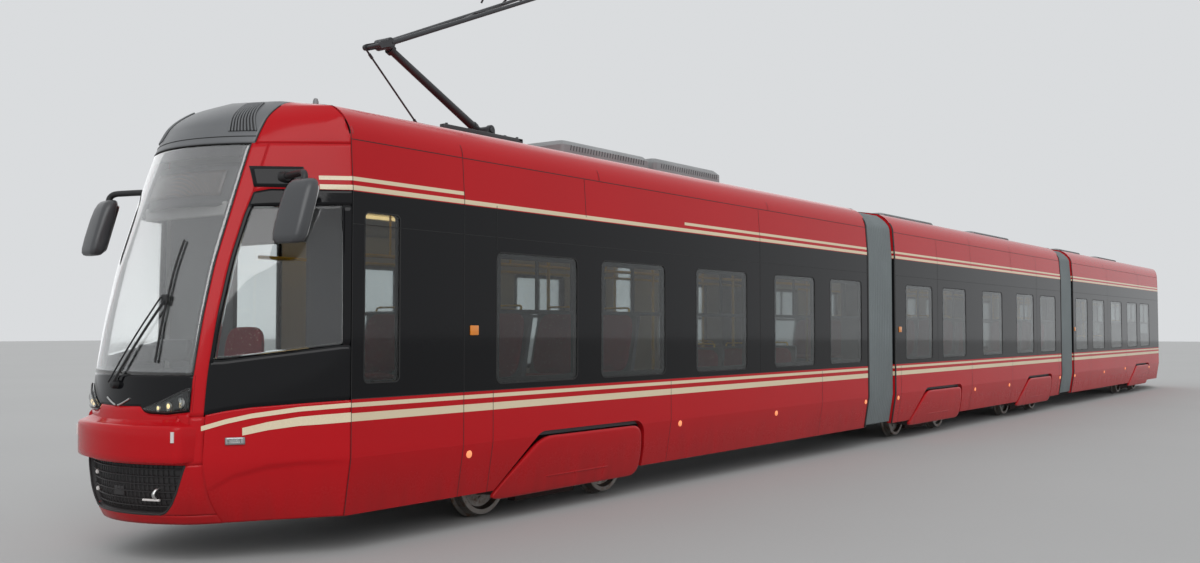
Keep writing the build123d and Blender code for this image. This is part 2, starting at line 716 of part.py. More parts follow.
# Seats: place from the nose or tail (or from the middle), side, facing and floor level
END_SEATS = [
    (3100, -1, 1, PODIUM_TOP),
    (3950, -1, 1, PODIUM_TOP),
    (4800, -1, 1, PODIUM_TOP),
    (3100, 1, 1, PODIUM_TOP),
    (3950, 1, 1, PODIUM_TOP),
    (4800, 1, 1, PODIUM_TOP),
    (6500, -1, 1, LOW_FLOOR),
    (7400, -1, 1, LOW_FLOOR),
    (8300, -1, 1, LOW_FLOOR),
    (9000, 1, 1, LOW_FLOOR),
]
MIDDLE_SEATS = [
    (bogie + step, side, 1, PODIUM_TOP)
    for bogie in (-INNER_BOGIE_X, INNER_BOGIE_X)
    for step in (-850, 0, 850)
    for side in (-1, 1)
]
SEAT_WIDTH = 600
for car, tip, inward in (("front", NOSE_X, 1), ("rear", TAIL_X, -1)):
    units = [seat_unit(tip + inward * t, s, f * inward, z, SEAT_WIDTH) for t, s, f, z in END_SEATS]
    if car == "front":
        units.append(driver_seat)
    save(f"{car}_seats", *units)
save("middle_seats", *[seat_unit(x, s, f, z, SEAT_WIDTH) for x, s, f, z in MIDDLE_SEATS])


def roof_unit(x0, x1, half, top):
    """Equipment box on the roof, standing on the crown by a shaped foot."""
    low = block(x0, x1, -half, half, 3200, top)
    low -= body_prism(x0 - 10, x1 + 10)
    edges = low.faces().sort_by(Axis.Z)[-1].edges()
    return chamfer(edges, 0.4 * (top - CROWN_Z))


# Roof equipment of each car: start, end, half width and top
ROOF_UNITS = {
    "front": [(-11600, -10050, 640, 3500), (-9950, -8520, 640, 3515)],
    "middle": [(-3300, -1000, 500, 3450), (1000, 3300, 500, 3450)],
    "rear": [(6900, 8900, 500, 3450), (10500, 12700, 500, 3450)],
}
for car, units in ROOF_UNITS.items():
    save(f"{car}_roof_units", *[roof_unit(*unit) for unit in units])


def bellows(pivot_x):
    """The closed outer shape of a gangway bellows, a hollow sleeve."""
    x0 = pivot_x - GANGWAY_GAP / 2 + 0.3
    x1 = pivot_x + GANGWAY_GAP / 2 - 0.3
    sleeve = body_prism(x0, x1, BELLOWS_INSET) & block(x0, x1, -2000, 2000, SKIRT_BOTTOM + 25, 4000)
    passage = body_prism(x0 - 1, x1 + 1, BELLOWS_INSET + BELLOWS_DEPTH)
    return sleeve - (passage & block(x0 - 1, x1 + 1, -2000, 2000, SKIRT_BOTTOM + 75, 4000))


save("front_bellows", bellows(-ARTICULATION_X))
save("rear_bellows", bellows(ARTICULATION_X))


# Bogies
def turned(outline):
    """A solid turned about the Y axis, from radius and place along the axle."""
    half = make_face(Polyline(*[(r, y, 0) for r, y in outline], close=True))
    return revolve(half.faces()[0], Axis.Y, 360)


def wheelset(x):
    """An axle, stepped down to its journals, and the two flanged wheels pressed on it."""
    back = BACK_TO_BACK / 2
    face = back + WHEEL_WIDTH
    bearing = BOGIE_SIDE_Y + BOGIE_SIDE_WIDTH / 2 - 10
    axle = [
        (0, 0),
        (AXLE_RADIUS, 0),
        (AXLE_RADIUS, face + 5),
        (JOURNAL_RADIUS, face + 5),
        (JOURNAL_RADIUS, bearing),
        (0, bearing),
    ]
    bore = AXLE_RADIUS + WHEEL_FIT
    wheel = [
        (bore, back - 30),
        (AXLE_RADIUS + 45, back - 10),
        (AXLE_RADIUS + 60, back + 40),
        (WHEEL_RADIUS - 70, back + 30),
        (WHEEL_RADIUS - 50, back),
        (WHEEL_RADIUS + FLANGE - 10, back),
        (WHEEL_RADIUS + FLANGE, back + 12),
        (WHEEL_RADIUS + FLANGE - 6, back + 24),
        (WHEEL_RADIUS + 4, back + 36),
        (WHEEL_RADIUS - 3, face),
        (WHEEL_RADIUS - 50, face),
        (WHEEL_RADIUS - 70, back + 75),
        (AXLE_RADIUS + 55, back + 75),
        (AXLE_RADIUS + 45, face),
        (bore, face),
    ]
    axle_half = turned(axle)
    turned_wheel = turned(wheel)
    pieces = [axle_half + mirrored_y(axle_half), turned_wheel, mirrored_y(turned_wheel)]
    return [Pos(x, 0, AXLE_Z) * piece for piece in pieces]


def bogie_frame(x):
    """Two side beams with axle boxes, two cross beams, a turntable and two motors."""
    beam_low = BOGIE_BEAM_TOP - BOGIE_BEAM_HEIGHT
    half_base = WHEELBASE / 2
    frame = block(-220, 220, -BOGIE_SIDE_Y, BOGIE_SIDE_Y, beam_low, BOGIE_BEAM_TOP)
    for side in (-1, 1):
        y0 = side * (BOGIE_SIDE_Y - BOGIE_SIDE_WIDTH / 2)
        y1 = side * (BOGIE_SIDE_Y + BOGIE_SIDE_WIDTH / 2)
        outline = [(-1060, beam_low + 60), (-1060, BOGIE_BEAM_TOP - 20), (-500, BOGIE_BEAM_TOP)]
        outline += [(-t, z) for t, z in outline[::-1]]
        outline += [(760, 180), (620, 210), (520, beam_low), (-520, beam_low), (-620, 210)]
        outline += [(-760, 180), (-1060, 230)]
        outline.insert(6, (1060, 230))
        frame += side_prism(outline, *sorted((y0, y1)))
        for end in (-1, 1):
            bore = Rot(90, 0, 0) * Cylinder(JOURNAL_RADIUS + BEARING_GAP, 400)
            frame -= Pos(end * half_base, side * BOGIE_SIDE_Y, AXLE_Z) * bore
        brake = block(-430, 430, side * 690, side * 780, 90, 180)
        for end in (-1, 1):
            x0 = end * 330
            hanger_y = side * (BOGIE_SIDE_Y - BOGIE_SIDE_WIDTH / 2 + 5)
            brake += block(x0 - 30, x0 + 30, side * 700, side * 780, 180, beam_low + 45)
            brake += block(x0 - 30, x0 + 30, side * 700, hanger_y, beam_low + 5, beam_low + 45)
        frame += brake
        frame += block(side * 215, side * 640, -330, 330, 170, 430)
    pad_top = AISLE_FLOOR - FLOOR_PLATE - 40 - 0.5
    pad = Cylinder(TURNTABLE_RADIUS, pad_top - BOGIE_BEAM_TOP + 10)
    frame += Pos(0, 0, (pad_top + BOGIE_BEAM_TOP - 10) / 2) * pad
    return Pos(x, 0, 0) * frame


BOGIES = [-OUTER_BOGIE_X, -INNER_BOGIE_X, INNER_BOGIE_X, OUTER_BOGIE_X]
for number, bogie_x in enumerate(BOGIES, start=1):
    save(f"bogie_{number}_frame", bogie_frame(bogie_x))
    save(f"bogie_{number}_front_wheelset", *wheelset(bogie_x - WHEELBASE / 2))
    save(f"bogie_{number}_rear_wheelset", *wheelset(bogie_x + WHEELBASE / 2))


# Mirrors, one on each side of the cab, on arms that stand square on the flank
MIRROR_FOOT = (830, 2735)
MIRROR_AT = (640, 1215, 2455)
MIRROR_SIZE = (160, 270, 460)
MIRROR_ARM = 22


def cab_flank(t, z):
    """The half width of the cab's flank at a place behind the nose, and its slopes."""
    upper = next(i for i, level in enumerate(CAB_LEVELS) if level[0] > z)
    low, high = CAB_LEVELS[upper - 1], CAB_LEVELS[upper]
    share = (z - low[0]) / (high[0] - low[0])
    corner, half = (low[k] + share * (high[k] - low[k]) for k in (2, 3))
    slope = (HALF - half) / (CAB_SEAM - corner)
    lean = -slope * (high[2] - low[2]) / (high[0] - low[0])
    return half + slope * (t - corner), slope, lean


def cab_mirror(side):
    t, z = MIRROR_FOOT
    half, slope, lean = cab_flank(t, z)
    foot = Vector(NOSE_X + t, side * half, z)
    outward = Vector(-slope, side, -lean).normalized()
    top = MIRROR_AT[2] + MIRROR_SIZE[2] / 2
    route = FilletPolyline(
        foot + outward * 1.6,
        foot + outward * 180,
        (NOSE_X + MIRROR_AT[0], side * MIRROR_AT[1], z + 80),
        (NOSE_X + MIRROR_AT[0], side * MIRROR_AT[1], top - 30),
        radius=70,
    )
    arm = sweep(Plane(route ^ 0) * Circle(MIRROR_ARM), path=route)
    head = Pos(NOSE_X + MIRROR_AT[0], side * MIRROR_AT[1], MIRROR_AT[2]) * Box(*MIRROR_SIZE)
    return fillet(head.edges(), 45) + arm


save("mirrors", cab_mirror(-1), cab_mirror(1))

# Wiper: a slanting arm from a boss on the mask, and an upright blade bent like the screen
WIPER_BOSS = (30, 1240)
WIPER_JOINT = (-335, 1830)
BLADE_ENDS = (1400, 2270)


def nose_x(y, z):
    """The X of the nose's outer face at a half width and a height."""
    upper = next(i for i, level in enumerate(CAB_LEVELS) if level[0] > z)
    low, high = CAB_LEVELS[upper - 1], CAB_LEVELS[upper]
    share = (z - low[0]) / (high[0] - low[0])
    middle, corner, half = (low[k] + share * (high[k] - low[k]) for k in (1, 2, 3))
    sag = corner - middle
    bend = (sag * sag + half * half) / (2 * sag)
    return NOSE_X + middle + bend - (bend * bend - y * y) ** 0.5


def wiper_bar(clear, thick, low, high):
    """A bar that follows the screen beside the joint, at a clearance from the glass."""
    bends = [level[0] for level in CAB_LEVELS if low < level[0] < high]
    heights = [low, *bends, high]
    faces = [(nose_x(WIPER_JOINT[0], z) - clear, z) for z in heights]
    outline = faces + [(x - thick, z) for x, z in faces[::-1]]
    return side_prism(outline, WIPER_JOINT[0] - 7, WIPER_JOINT[0] + 7)


def tube(a, b, radius):
    """A round bar between two points."""
    line = Line(a, b)
    return sweep(Plane(line ^ 0) * Circle(radius), path=line)


boss_y, boss_z = WIPER_BOSS
joint_y, joint_z = WIPER_JOINT
boss = (nose_x(boss_y, boss_z) - 2.8, boss_y, boss_z)
arm_foot = (boss[0] - 34, boss_y, boss_z)
arm_end = (nose_x(joint_y, joint_z) - 34, joint_y, joint_z)
wiper = wiper_bar(3, 20, *BLADE_ENDS)
wiper += wiper_bar(12, 30, joint_z - 30, joint_z + 30)
wiper += tube(arm_foot, arm_end, 9) + tube(boss, (boss[0] - 44, boss_y, boss_z), 24)
save("wiper", wiper)


# Pantograph
def link_plate(a, b, y0, y1, radius):
    """A flat link in the XZ plane with round ends."""
    y_low, y_high = sorted((y0, y1))
    height = y_high - y_low
    middle = (y_low + y_high) / 2
    ends = [Pos(x, middle, z) * Rot(90, 0, 0) * Cylinder(radius, height) for x, z in (a, b)]
    length = Vector(b[0] - a[0], 0, b[1] - a[1]).length
    turn = degrees(atan2(a[1] - b[1], b[0] - a[0]))
    place = Pos((a[0] + b[0]) / 2, middle, (a[1] + b[1]) / 2) * Rot(0, turn, 0)
    return ends[0] + place * Box(length, height, 2 * radius) + ends[1]


knee_x = PANTO_BASE_X - PANTO_LOWER * cos(radians(PANTO_LOWER_ANGLE))
knee_z = PANTO_BASE_Z + PANTO_LOWER * sin(radians(PANTO_LOWER_ANGLE))
head_x = knee_x + PANTO_UPPER * cos(radians(PANTO_UPPER_ANGLE))
head_z = knee_z + PANTO_UPPER * sin(radians(PANTO_UPPER_ANGLE))
ROD_BASE_X = PANTO_BASE_X - 680
ROD_BASE_Z = PANTO_BASE_Z - 60
heel_x = knee_x - 125
heel_z = knee_z - 40

base = block(ROD_BASE_X - 120, PANTO_BASE_X + 320, -300, -240, 3450, 3500)
base += block(ROD_BASE_X - 120, PANTO_BASE_X + 320, 240, 300, 3450, 3500)
base += block(PANTO_BASE_X - 50, PANTO_BASE_X + 50, -300, 300, 3450, 3500)
base += block(ROD_BASE_X - 40, ROD_BASE_X + 40, -300, 300, 3430, ROD_BASE_Z - ROD_EYE_RADIUS - 8)
for y in (-170, 130):
    base += block(PANTO_BASE_X - 60, PANTO_BASE_X + 60, y, y + 40, 3480, PANTO_BASE_Z + 50)
for x in (ROD_BASE_X - 60, PANTO_BASE_X + 260):
    for y in (-270, 270):
        base += Pos(x, y, 3405) * Cylinder(35, 100)
lug = link_plate((ROD_BASE_X, ROD_BASE_Z - 40), (ROD_BASE_X, ROD_BASE_Z), 85, 105, ROD_EYE_RADIUS)
base += lug + tube((ROD_BASE_X, 95, ROD_BASE_Z), (ROD_BASE_X, 130, ROD_BASE_Z), ROD_PIN)
base -= body_prism(ROD_BASE_X - 400, PANTO_BASE_X + 600)
save("pantograph_base", base)

shaft = tube((PANTO_BASE_X, -129.5, PANTO_BASE_Z), (PANTO_BASE_X, 129.5, PANTO_BASE_Z), 40)
lower = shaft + tube((PANTO_BASE_X, 0, PANTO_BASE_Z), (knee_x, 0, knee_z), PANTO_TUBE)
lower += tube((knee_x, -60, knee_z), (knee_x, 60, knee_z), 50)
save("pantograph_lower_arm", lower)

CHEEK = 20
CHEEK_Y = 85
knee, heel = (knee_x, knee_z), (heel_x, heel_z)
upper = tube((heel_x, -CHEEK_Y - 5, heel_z), (heel_x, CHEEK_Y + 5, heel_z), 16)
for side in (-1, 1):
    upper += tube((knee_x, side * 60.5, knee_z), (knee_x, side * (CHEEK_Y + 5), knee_z), 50)
    upper += tube((knee_x, side * CHEEK_Y, knee_z), (head_x, side * 330, head_z), 22)
    upper += link_plate(knee, heel, side * CHEEK_Y, side * (CHEEK_Y + CHEEK), 30)
upper += tube((head_x, -400, head_z), (head_x, 400, head_z), 18)
save("pantograph_upper_arm", upper)

# The coupling rod runs beside the cheek of the upper arm and turns on a pin of the base
ROD_Y = CHEEK_Y + CHEEK + 0.5
ROD_EYE = 20
rod_middle = ROD_Y + ROD_EYE / 2
rod_start = Vector(ROD_BASE_X, rod_middle, ROD_BASE_Z)
rod_stop = Vector(heel_x, rod_middle, heel_z)
rod_way = (rod_stop - rod_start).normalized() * 18
rod = tube(rod_start + rod_way, rod_stop - rod_way, 8)
for x, z in ((ROD_BASE_X, ROD_BASE_Z), heel):
    rod += Pos(x, rod_middle, z) * Rot(90, 0, 0) * Cylinder(ROD_EYE_RADIUS, ROD_EYE)
bore = Rot(90, 0, 0) * Cylinder(ROD_PIN + 0.3, 4 * ROD_EYE)
rod -= Pos(ROD_BASE_X, rod_middle, ROD_BASE_Z) * bore
save("pantograph_coupling_rod", rod)

head = tube((head_x, -420, head_z + 60), (head_x, 420, head_z + 60), 16)
for side in (-1, 1):
    lug = block(head_x - 32, head_x + 32, side * 365, side * 385, head_z - 36, head_z + 75)
    head += lug - Pos(head_x, side * 375, head_z) * Rot(90, 0, 0) * Cylinder(18.3, 60)
for offset_x in (-150, 150):
    strip_x = head_x + offset_x
    head += block(strip_x - 20, strip_x + 20, -500, 500, head_z + 120, head_z + 150)
    for side in (-1, 1):
        head += tube((head_x, side * 400, head_z + 60), (strip_x, side * 400, head_z + 130), 12)
        head += tube((strip_x, side * 490, head_z + 135), (strip_x, side * 800, head_z - 20), 12)
save("pantograph_head", head)
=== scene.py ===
import math

import bpy
import numpy as np
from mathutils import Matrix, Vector


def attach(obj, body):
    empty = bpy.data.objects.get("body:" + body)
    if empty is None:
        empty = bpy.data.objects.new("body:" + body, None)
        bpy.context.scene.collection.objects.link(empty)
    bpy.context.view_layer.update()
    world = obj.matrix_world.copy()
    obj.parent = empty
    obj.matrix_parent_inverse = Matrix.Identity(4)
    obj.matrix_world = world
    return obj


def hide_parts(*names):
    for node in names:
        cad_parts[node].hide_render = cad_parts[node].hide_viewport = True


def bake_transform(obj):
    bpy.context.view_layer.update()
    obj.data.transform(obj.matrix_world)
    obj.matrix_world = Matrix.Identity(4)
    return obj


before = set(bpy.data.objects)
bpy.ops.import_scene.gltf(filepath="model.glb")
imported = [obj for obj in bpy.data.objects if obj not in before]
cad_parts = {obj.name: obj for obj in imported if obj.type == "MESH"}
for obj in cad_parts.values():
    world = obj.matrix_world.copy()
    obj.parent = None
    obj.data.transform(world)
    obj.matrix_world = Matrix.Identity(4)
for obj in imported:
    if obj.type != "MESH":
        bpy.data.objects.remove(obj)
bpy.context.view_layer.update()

# Sizes of the tram in metres, as in its CAD source
NOSE, TAIL = -16.0, 16.0
HALF = 1.175
SKIRT_LOW, CREASE, CANTRAIL, SHOULDER, ROOF_EDGE, CROWN = 0.28, 0.70, 2.67, 3.03, 3.30, 3.39
CROWN_HALF = 0.94
CROWN_TOP = CROWN - 0.0005
PIVOT, GANGWAY = 4.95, 0.92
CAB_SEAM, TAIL_SEAM = 1.2, 1.6
SCREEN_HALF, SCREEN_LOW, SCREEN_HIGH = 0.60, 1.315, 2.99
CAP_HALF, CAP_END, CAP_FOOT = 0.62, 1.70, 3.3488
WHEEL_HEIGHT = 0.328
BOGIES = {"front": [-12.05], "middle": [-2.68, 2.68], "rear": [12.05]}
CARS = {
    "front": (NOSE + CAB_SEAM, -PIVOT - GANGWAY / 2),
    "middle": (-PIVOT + GANGWAY / 2, PIVOT - GANGWAY / 2),
    "rear": (PIVOT + GANGWAY / 2, TAIL - TAIL_SEAM),
}
SIDES = (-1, 1)
SLOTS = {}  # the material slot that each finish stands for


# Mesh helpers


def spots(*axes):
    """Points from the values along each axis, spread to one shape."""
    return np.stack(np.broadcast_arrays(*[np.asarray(axis, float) for axis in axes]), axis=-1)


def shares(rows, columns):
    """Steps from 0 to 1 down the rows and along the columns."""
    return np.linspace(0, 1, rows)[:, None], np.linspace(0, 1, columns)[None, :]


def at(edge, where):
    """An edge's value: a number, or a function of the place."""
    return edge(where) if callable(edge) else edge


def mixed(start, stop, share):
    """Points on the straight line between two others."""
    return start * (1 - share) + stop * share


def rounded(before, corner, after, share):
    """A quadratic curve past a corner."""
    return (1 - share) ** 2 * before + 2 * share * (1 - share) * corner + share**2 * after


def grid(points, around=False, closed=False, flip=False):
    """Quads over a grid of points; around joins the columns' ends, closed the rows' ends."""
    points = np.asarray(points, float)
    rows, columns = points.shape[:2]
    index = np.arange(rows * columns).reshape(rows, columns)
    if around:
        index = np.concatenate([index, index[:, :1]], axis=1)
    if closed:
        index = np.concatenate([index, index[:1]], axis=0)
    a, b, c, d = index[:-1, :-1], index[:-1, 1:], index[1:, 1:], index[1:, :-1]
    quads = np.stack([a, b, c, d], axis=-1).reshape(-1, 4)
    return points.reshape(-1, 3), [quads[:, ::-1] if flip else quads]


def capped(loops, flip=False):
    """A closed solid through a stack of equal loops, with a flat face over each end."""
    vertices, faces = grid(loops, around=True, flip=flip)
    count = np.shape(loops)[1]
    first = np.arange(count)[None, ::-1]
    last = first[:, ::-1] + len(vertices) - count
    return vertices, faces + [end[:, ::-1] if flip else end for end in (first, last)]


def join(parts):
    """Several vertex and face sets as one."""
    vertices, faces, offset = [], [], 0
    for points, sets in parts:
        vertices.append(points)
        faces += [face_set + offset for face_set in sets]
        offset += len(points)
    return np.concatenate(vertices), faces


def turned_over(part):
    """The same part with its faces looking the other way."""
    return part[0], [face_set[:, ::-1] for face_set in part[1]]


def mirror_y(part):
    """The same part on the other side of the tram."""
    return turned_over((part[0] * (1, -1, 1), part[1]))


def sided(*parts):
    """Each part, followed by its mirror image."""
    return [each for part in parts for each in (part, mirror_y(part))]


def piece(name, parts, material, slot=None, body="front_car", smooth=40, replaces=(), wall=None):
    """A finished piece: its mesh, material, body and, if given, a wall's thickness."""
    vertices, faces = join(parts)
    mesh = bpy.data.meshes.new(name)
    mesh.from_pydata(vertices.tolist(), [], [f for s in faces for f in s.tolist()])
    mesh.validate()
    thing = bpy.data.objects.new(name, mesh)
    bpy.context.scene.collection.objects.link(thing)
    finishes = material if isinstance(material, list) else [material]
    for each in finishes:
        mesh.materials.append(each)
    mesh.polygons.foreach_set("use_smooth", np.ones(len(mesh.polygons), bool))
    mesh.set_sharp_from_angle(angle=math.radians(smooth))
    if wall:
        skin = thing.modifiers.new("wall", "SOLIDIFY")
        skin.thickness = wall
        skin.offset = -1
        skin.use_even_offset = False
        skin.material_offset = 1 if len(finishes) > 1 else 0
        skin.material_offset_rim = 0
    slot = slot or SLOTS[finishes[0].name]
    if body:
        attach(thing, body)
    if replaces:
        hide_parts(*replaces)
    return thing


def outline(half_x, half_y, radius, steps=4):
    """A rectangle with round corners about the origin: corner centres plus a turning radius."""
    turn = np.linspace(0, np.pi / 2, steps + 1)
    angle = np.concatenate([turn + quarter * np.pi / 2 for quarter in range(4)])
    x = np.repeat([1, -1, -1, 1], steps + 1) * (half_x - radius) + radius * np.cos(angle)
    y = np.repeat([1, 1, -1, -1], steps + 1) * (half_y - radius) + radius * np.sin(angle)
    return spots(x, y)


def round_block(x0, x1, y0, y1, z0, z1, radius=0.01, steps=3):
    """A block whose edges turn with a radius: outlines that shrink by r - r cos towards each end."""
    y0, y1 = sorted((y0, y1))
    radius = min(radius, 0.49 * min(x1 - x0, y1 - y0, z1 - z0))
    turn = np.linspace(0, np.pi / 2, steps + 1)
    inset = np.concatenate([radius * (1 - np.sin(turn)), radius * (1 - np.cos(turn))])
    height = np.concatenate([z0 + radius * (1 - np.cos(turn)), z1 - radius + radius * np.sin(turn)])
    centre = ((x0 + x1) / 2, (y0 + y1) / 2)
    loops = []
    for shrunk, z in zip(inset, height):
        flat = outline((x1 - x0) / 2 - shrunk, (y1 - y0) / 2 - shrunk, radius - shrunk * 0.98, steps) + centre
        loops.append(spots(flat[:, 0], flat[:, 1], z))
    return capped(loops)


def tube(path, radius, sides=10, closed=False):
    """A round bar: circles square to the path's tangent, at each of its points."""
    path = np.asarray(path, float)
    if closed:
        tangent = np.roll(path, -1, 0) - np.roll(path, 1, 0)
    else:
        tangent = np.gradient(path, axis=0)
    tangent /= np.linalg.norm(tangent, axis=1)[:, None]
    reference = np.eye(3)[int(np.argmin(np.abs(tangent).mean(0)))]
    normal = reference - (tangent @ reference)[:, None] * tangent
    normal /= np.linalg.norm(normal, axis=1)[:, None]
    side = np.cross(tangent, normal)
    angle = np.arange(sides) * 2 * np.pi / sides
    ring = normal[:, None] * np.cos(angle)[None, :, None] + side[:, None] * np.sin(angle)[None, :, None]
    radius = np.broadcast_to(np.asarray(radius, float), (len(path),))
    loops = path[:, None] + ring * radius[:, None, None]
    return grid(loops, around=True, closed=True) if closed else capped(loops)


def bent(points, radius=0.05, steps=5):
    """A route of straight runs whose corners are rounded by quadratic curves."""
    points = np.asarray(points, float)
    route = [points[:1]]
    share = np.linspace(0, 1, steps)[:, None]
    for before, corner, after in zip(points[:-2], points[1:-1], points[2:]):
        ends = [corner + (end - corner) * min(0.45, radius / np.linalg.norm(end - corner))
                for end in (before, after)]
        route.append(rounded(ends[0], corner, ends[1], share))
    route.append(points[-1:])
    return np.concatenate(route)


def lathe(profile, origin, axis="y", sides=32):
    """A turned solid: radius and place along the axis, carried round it, with flat ends."""
    profile = np.asarray(profile, float)
    angle = np.arange(sides) * 2 * np.pi / sides
    radius, along = profile[:, 0, None], np.repeat(profile[:, 1, None], sides, axis=1)
    first, second = radius * np.cos(angle), radius * np.sin(angle)
    order = {"x": (along, first, second), "y": (second, along, first), "z": (first, second, along)}
    return capped(np.stack(order[axis], axis=-1) + np.asarray(origin, float))


def window_outline(x0, x1, z0, z1, radius, steps, inset=0.0):
    """A window's round-cornered outline in X and Z."""
    flat = outline((x1 - x0) / 2 - inset, (z1 - z0) / 2 - inset, max(radius - inset, 0.004), steps)
    return flat + np.array([(x0 + x1) / 2, (z0 + z1) / 2])


def ring_frame(x0, x1, z0, z1, y, side, width, depth, radius=0.06):
    """A frame round a window: the outline and one inset by the width, in front and behind."""
    loops = []
    for inset, back in ((0, 0), (width, 0), (width, depth), (0, depth)):
        flat = window_outline(x0, x1, z0, z1, radius, 5, inset)
        loops.append(spots(flat[:, 0], side * (y - back), flat[:, 1]))
    return grid(loops, around=True, closed=True, flip=side > 0)


def flat_pane(x0, x1, z0, z1, y, side, thick=0.012, radius=0.06):
    """A pane with round corners: two equal outlines with a face over each."""
    flat = window_outline(x0, x1, z0, z1, radius, 6)
    return capped([spots(flat[:, 0], side * place, flat[:, 1]) for place in (y, y - thick)], flip=side < 0)


# Shader helpers


class Shader:
    """A node tree being filled: each call adds one node and gives back its first output."""

    def __init__(self, tree):
        """The tree to fill."""
        self.tree = tree

    def add(self, kind, inputs=(), output=0, **settings):
        """A new node of a kind with its settings, and its inputs linked or set to a value."""
        node = self.tree.nodes.new("ShaderNode" + kind)
        for key, value in settings.items():
            setattr(node, key, value)
        for key, value in dict(inputs).items():
            self.put(node.inputs[key], value)
        return node.outputs[output]

    def put(self, socket, value):
        """Another node's output linked to a socket, or a value set there; colours get an alpha of 1."""
        if isinstance(value, bpy.types.NodeSocket):
            self.tree.links.new(value, socket)
        else:
            colour = isinstance(value, tuple) and socket.type == "RGBA"
            socket.default_value = (*value, 1) if colour else value

    def maths(self, operation, *values):
        """One step of arithmetic on one or two values."""
        return self.add("Math", enumerate(values), operation=operation)

    def times(self, first, second):
        """The product of two values."""
        return self.maths("MULTIPLY", first, second)

    def ramp(self, value, low, high, start=0.0, stop=1.0):
        """A straight line from start at low to stop at high, and level beyond them."""
        return self.add("MapRange", {0: value, 1: low, 2: high, 3: start, 4: stop})

    def between(self, value, low, high, soft=0.0015):
        """1 between two values, 0 outside, with a soft edge."""
        rise = self.ramp(value, low - soft, low + soft)
        return self.times(rise, self.ramp(value, high - soft, high + soft, 1.0, 0.0))

    def mix(self, share, first, second):
        """A colour between two."""
        node = self.tree.nodes.new("ShaderNodeMix")
        node.data_type = "RGBA"
        for index, value in ((0, share), (6, first), (7, second)):
            self.put(node.inputs[index], value)
        return node.outputs[2]

    def noise(self, scale, detail=4.0, vector=None, rough=0.5):
        """Cloudy noise between 0 and 1: more scale gives smaller clouds."""
        inputs = {"Scale": scale, "Detail": detail, "Roughness": rough}
        if vector is not None:
            inputs["Vector"] = vector
        return self.add("TexNoise", inputs)

    def split(self, vector):
        """A vector's X, Y and Z."""
        node = self.tree.nodes.new("ShaderNodeSeparateXYZ")
        self.tree.links.new(vector, node.inputs[0])
        return node.outputs[:3]

    def place(self):
        """The piece's own coordinates, whole and as X, Y and Z."""
        whole = self.add("TexCoord", output="Object")
        return (whole, *self.split(whole))

    def stretch(self, vector, x, y, z):
        """A vector with its X, Y and Z multiplied."""
        return self.add("Mapping", {"Vector": vector, "Scale": (x, y, z)})


def surface_group():
    """Shared wear and painted shade: colour variation, dust that gathers low down and on the red body also
    stands for painted shade below the crease, and a fine grain height.
    """
    tree = bpy.data.node_groups.new("surface_wear_and_shade", "ShaderNodeTree")
    for name, value in (("Grain Scale", 60.0), ("Patch Scale", 1.5), ("Dust Height", 0.8)):
        socket = tree.interface.new_socket(name=name, in_out="INPUT", socket_type="NodeSocketFloat")
        socket.default_value = value
    for name in ("Patches", "Dust", "Grain"):
        tree.interface.new_socket(name=name, in_out="OUTPUT", socket_type="NodeSocketFloat")
    shader = Shader(tree)
    given = tree.nodes.new("NodeGroupInput")
    result = tree.nodes.new("NodeGroupOutput")
    whole, x, y, z = shader.place()
    patches = shader.noise(given.outputs[1], 5.0, whole)
    streaks = shader.noise(1.0, 3.0, shader.stretch(whole, 9, 9, 0.8))
    low = shader.maths("SUBTRACT", 1.0, shader.maths("DIVIDE", z, given.outputs[2]))
    dust = shader.times(shader.maths("MAXIMUM", low, 0.0), shader.maths("ADD", streaks, 0.25))
    grain = shader.noise(given.outputs[0], 2.0, whole)
    for socket, value in zip(result.inputs, (patches, dust, grain)):
        shader.put(socket, value)
    return tree


WEAR_AND_SHADE = surface_group()
# Dark brown dust colour; on the red body it also darkens the skirt below the crease as painted shade
DUST_AND_SHADE = (0.058, 0.020, 0.016)


def material(name, slot, base, rough=0.4, metal=0.0, grain=60.0, patch=1.5, bump=0.05, vary=0.12, dust=0.0,
             dust_height=0.8, coat=0.0, build=None, **plain):
    """A finish: base colour varied in patches, dark dust low down (painted shade as well on the red body), a
    fine grain in roughness and bump.
    """
    made = bpy.data.materials.new(name)
    SLOTS[made.name] = slot
    made.use_nodes = True
    tree = made.node_tree
    shader = Shader(tree)
    bsdf = tree.nodes["Principled BSDF"]
    bsdf.inputs["Metallic"].default_value = metal
    if coat:
        plain = {"Coat_Weight": coat, "Coat_Roughness": 0.04, **plain}
    for key, value in plain.items():
        bsdf.inputs[key.replace("_", " ")].default_value = value
    wear_and_shade = tree.nodes.new("ShaderNodeGroup")
    wear_and_shade.node_tree = WEAR_AND_SHADE
    for key, value in (("Grain Scale", grain), ("Patch Scale", patch), ("Dust Height", dust_height)):
        wear_and_shade.inputs[key].default_value = value
    patches, dirt_and_shade, fine = wear_and_shade.outputs[:3]
    colour, roughness = build(shader, base, rough) if build else (base, rough)
    if vary:
        dark = shader.mix(0.5, colour, (0, 0, 0))
        colour = shader.mix(shader.ramp(patches, 0.35, 0.75, 0.0, vary * 2), colour, dark)
    # Dust mixed in low down: dirt on the dark parts, painted shade on the red body's skirt
    if dust:
        share = shader.times(dirt_and_shade, dust)
        colour = shader.mix(share, colour, DUST_AND_SHADE)
        roughness = shader.maths("ADD", roughness, shader.times(share, 0.6))
    shader.put(bsdf.inputs["Base Color"], colour)
    spread = shader.ramp(fine, 0.3, 0.7, -0.03, 0.05)
    shader.put(bsdf.inputs["Roughness"], shader.maths("ADD", roughness, spread))
    if bump:
        lift = shader.add("Bump", {"Strength": bump, "Distance": 0.002, "Height": fine})
        shader.put(bsdf.inputs["Normal"], lift)
    return made


# The livery's colours, in linear values, and the levels of its black band and cream stripes

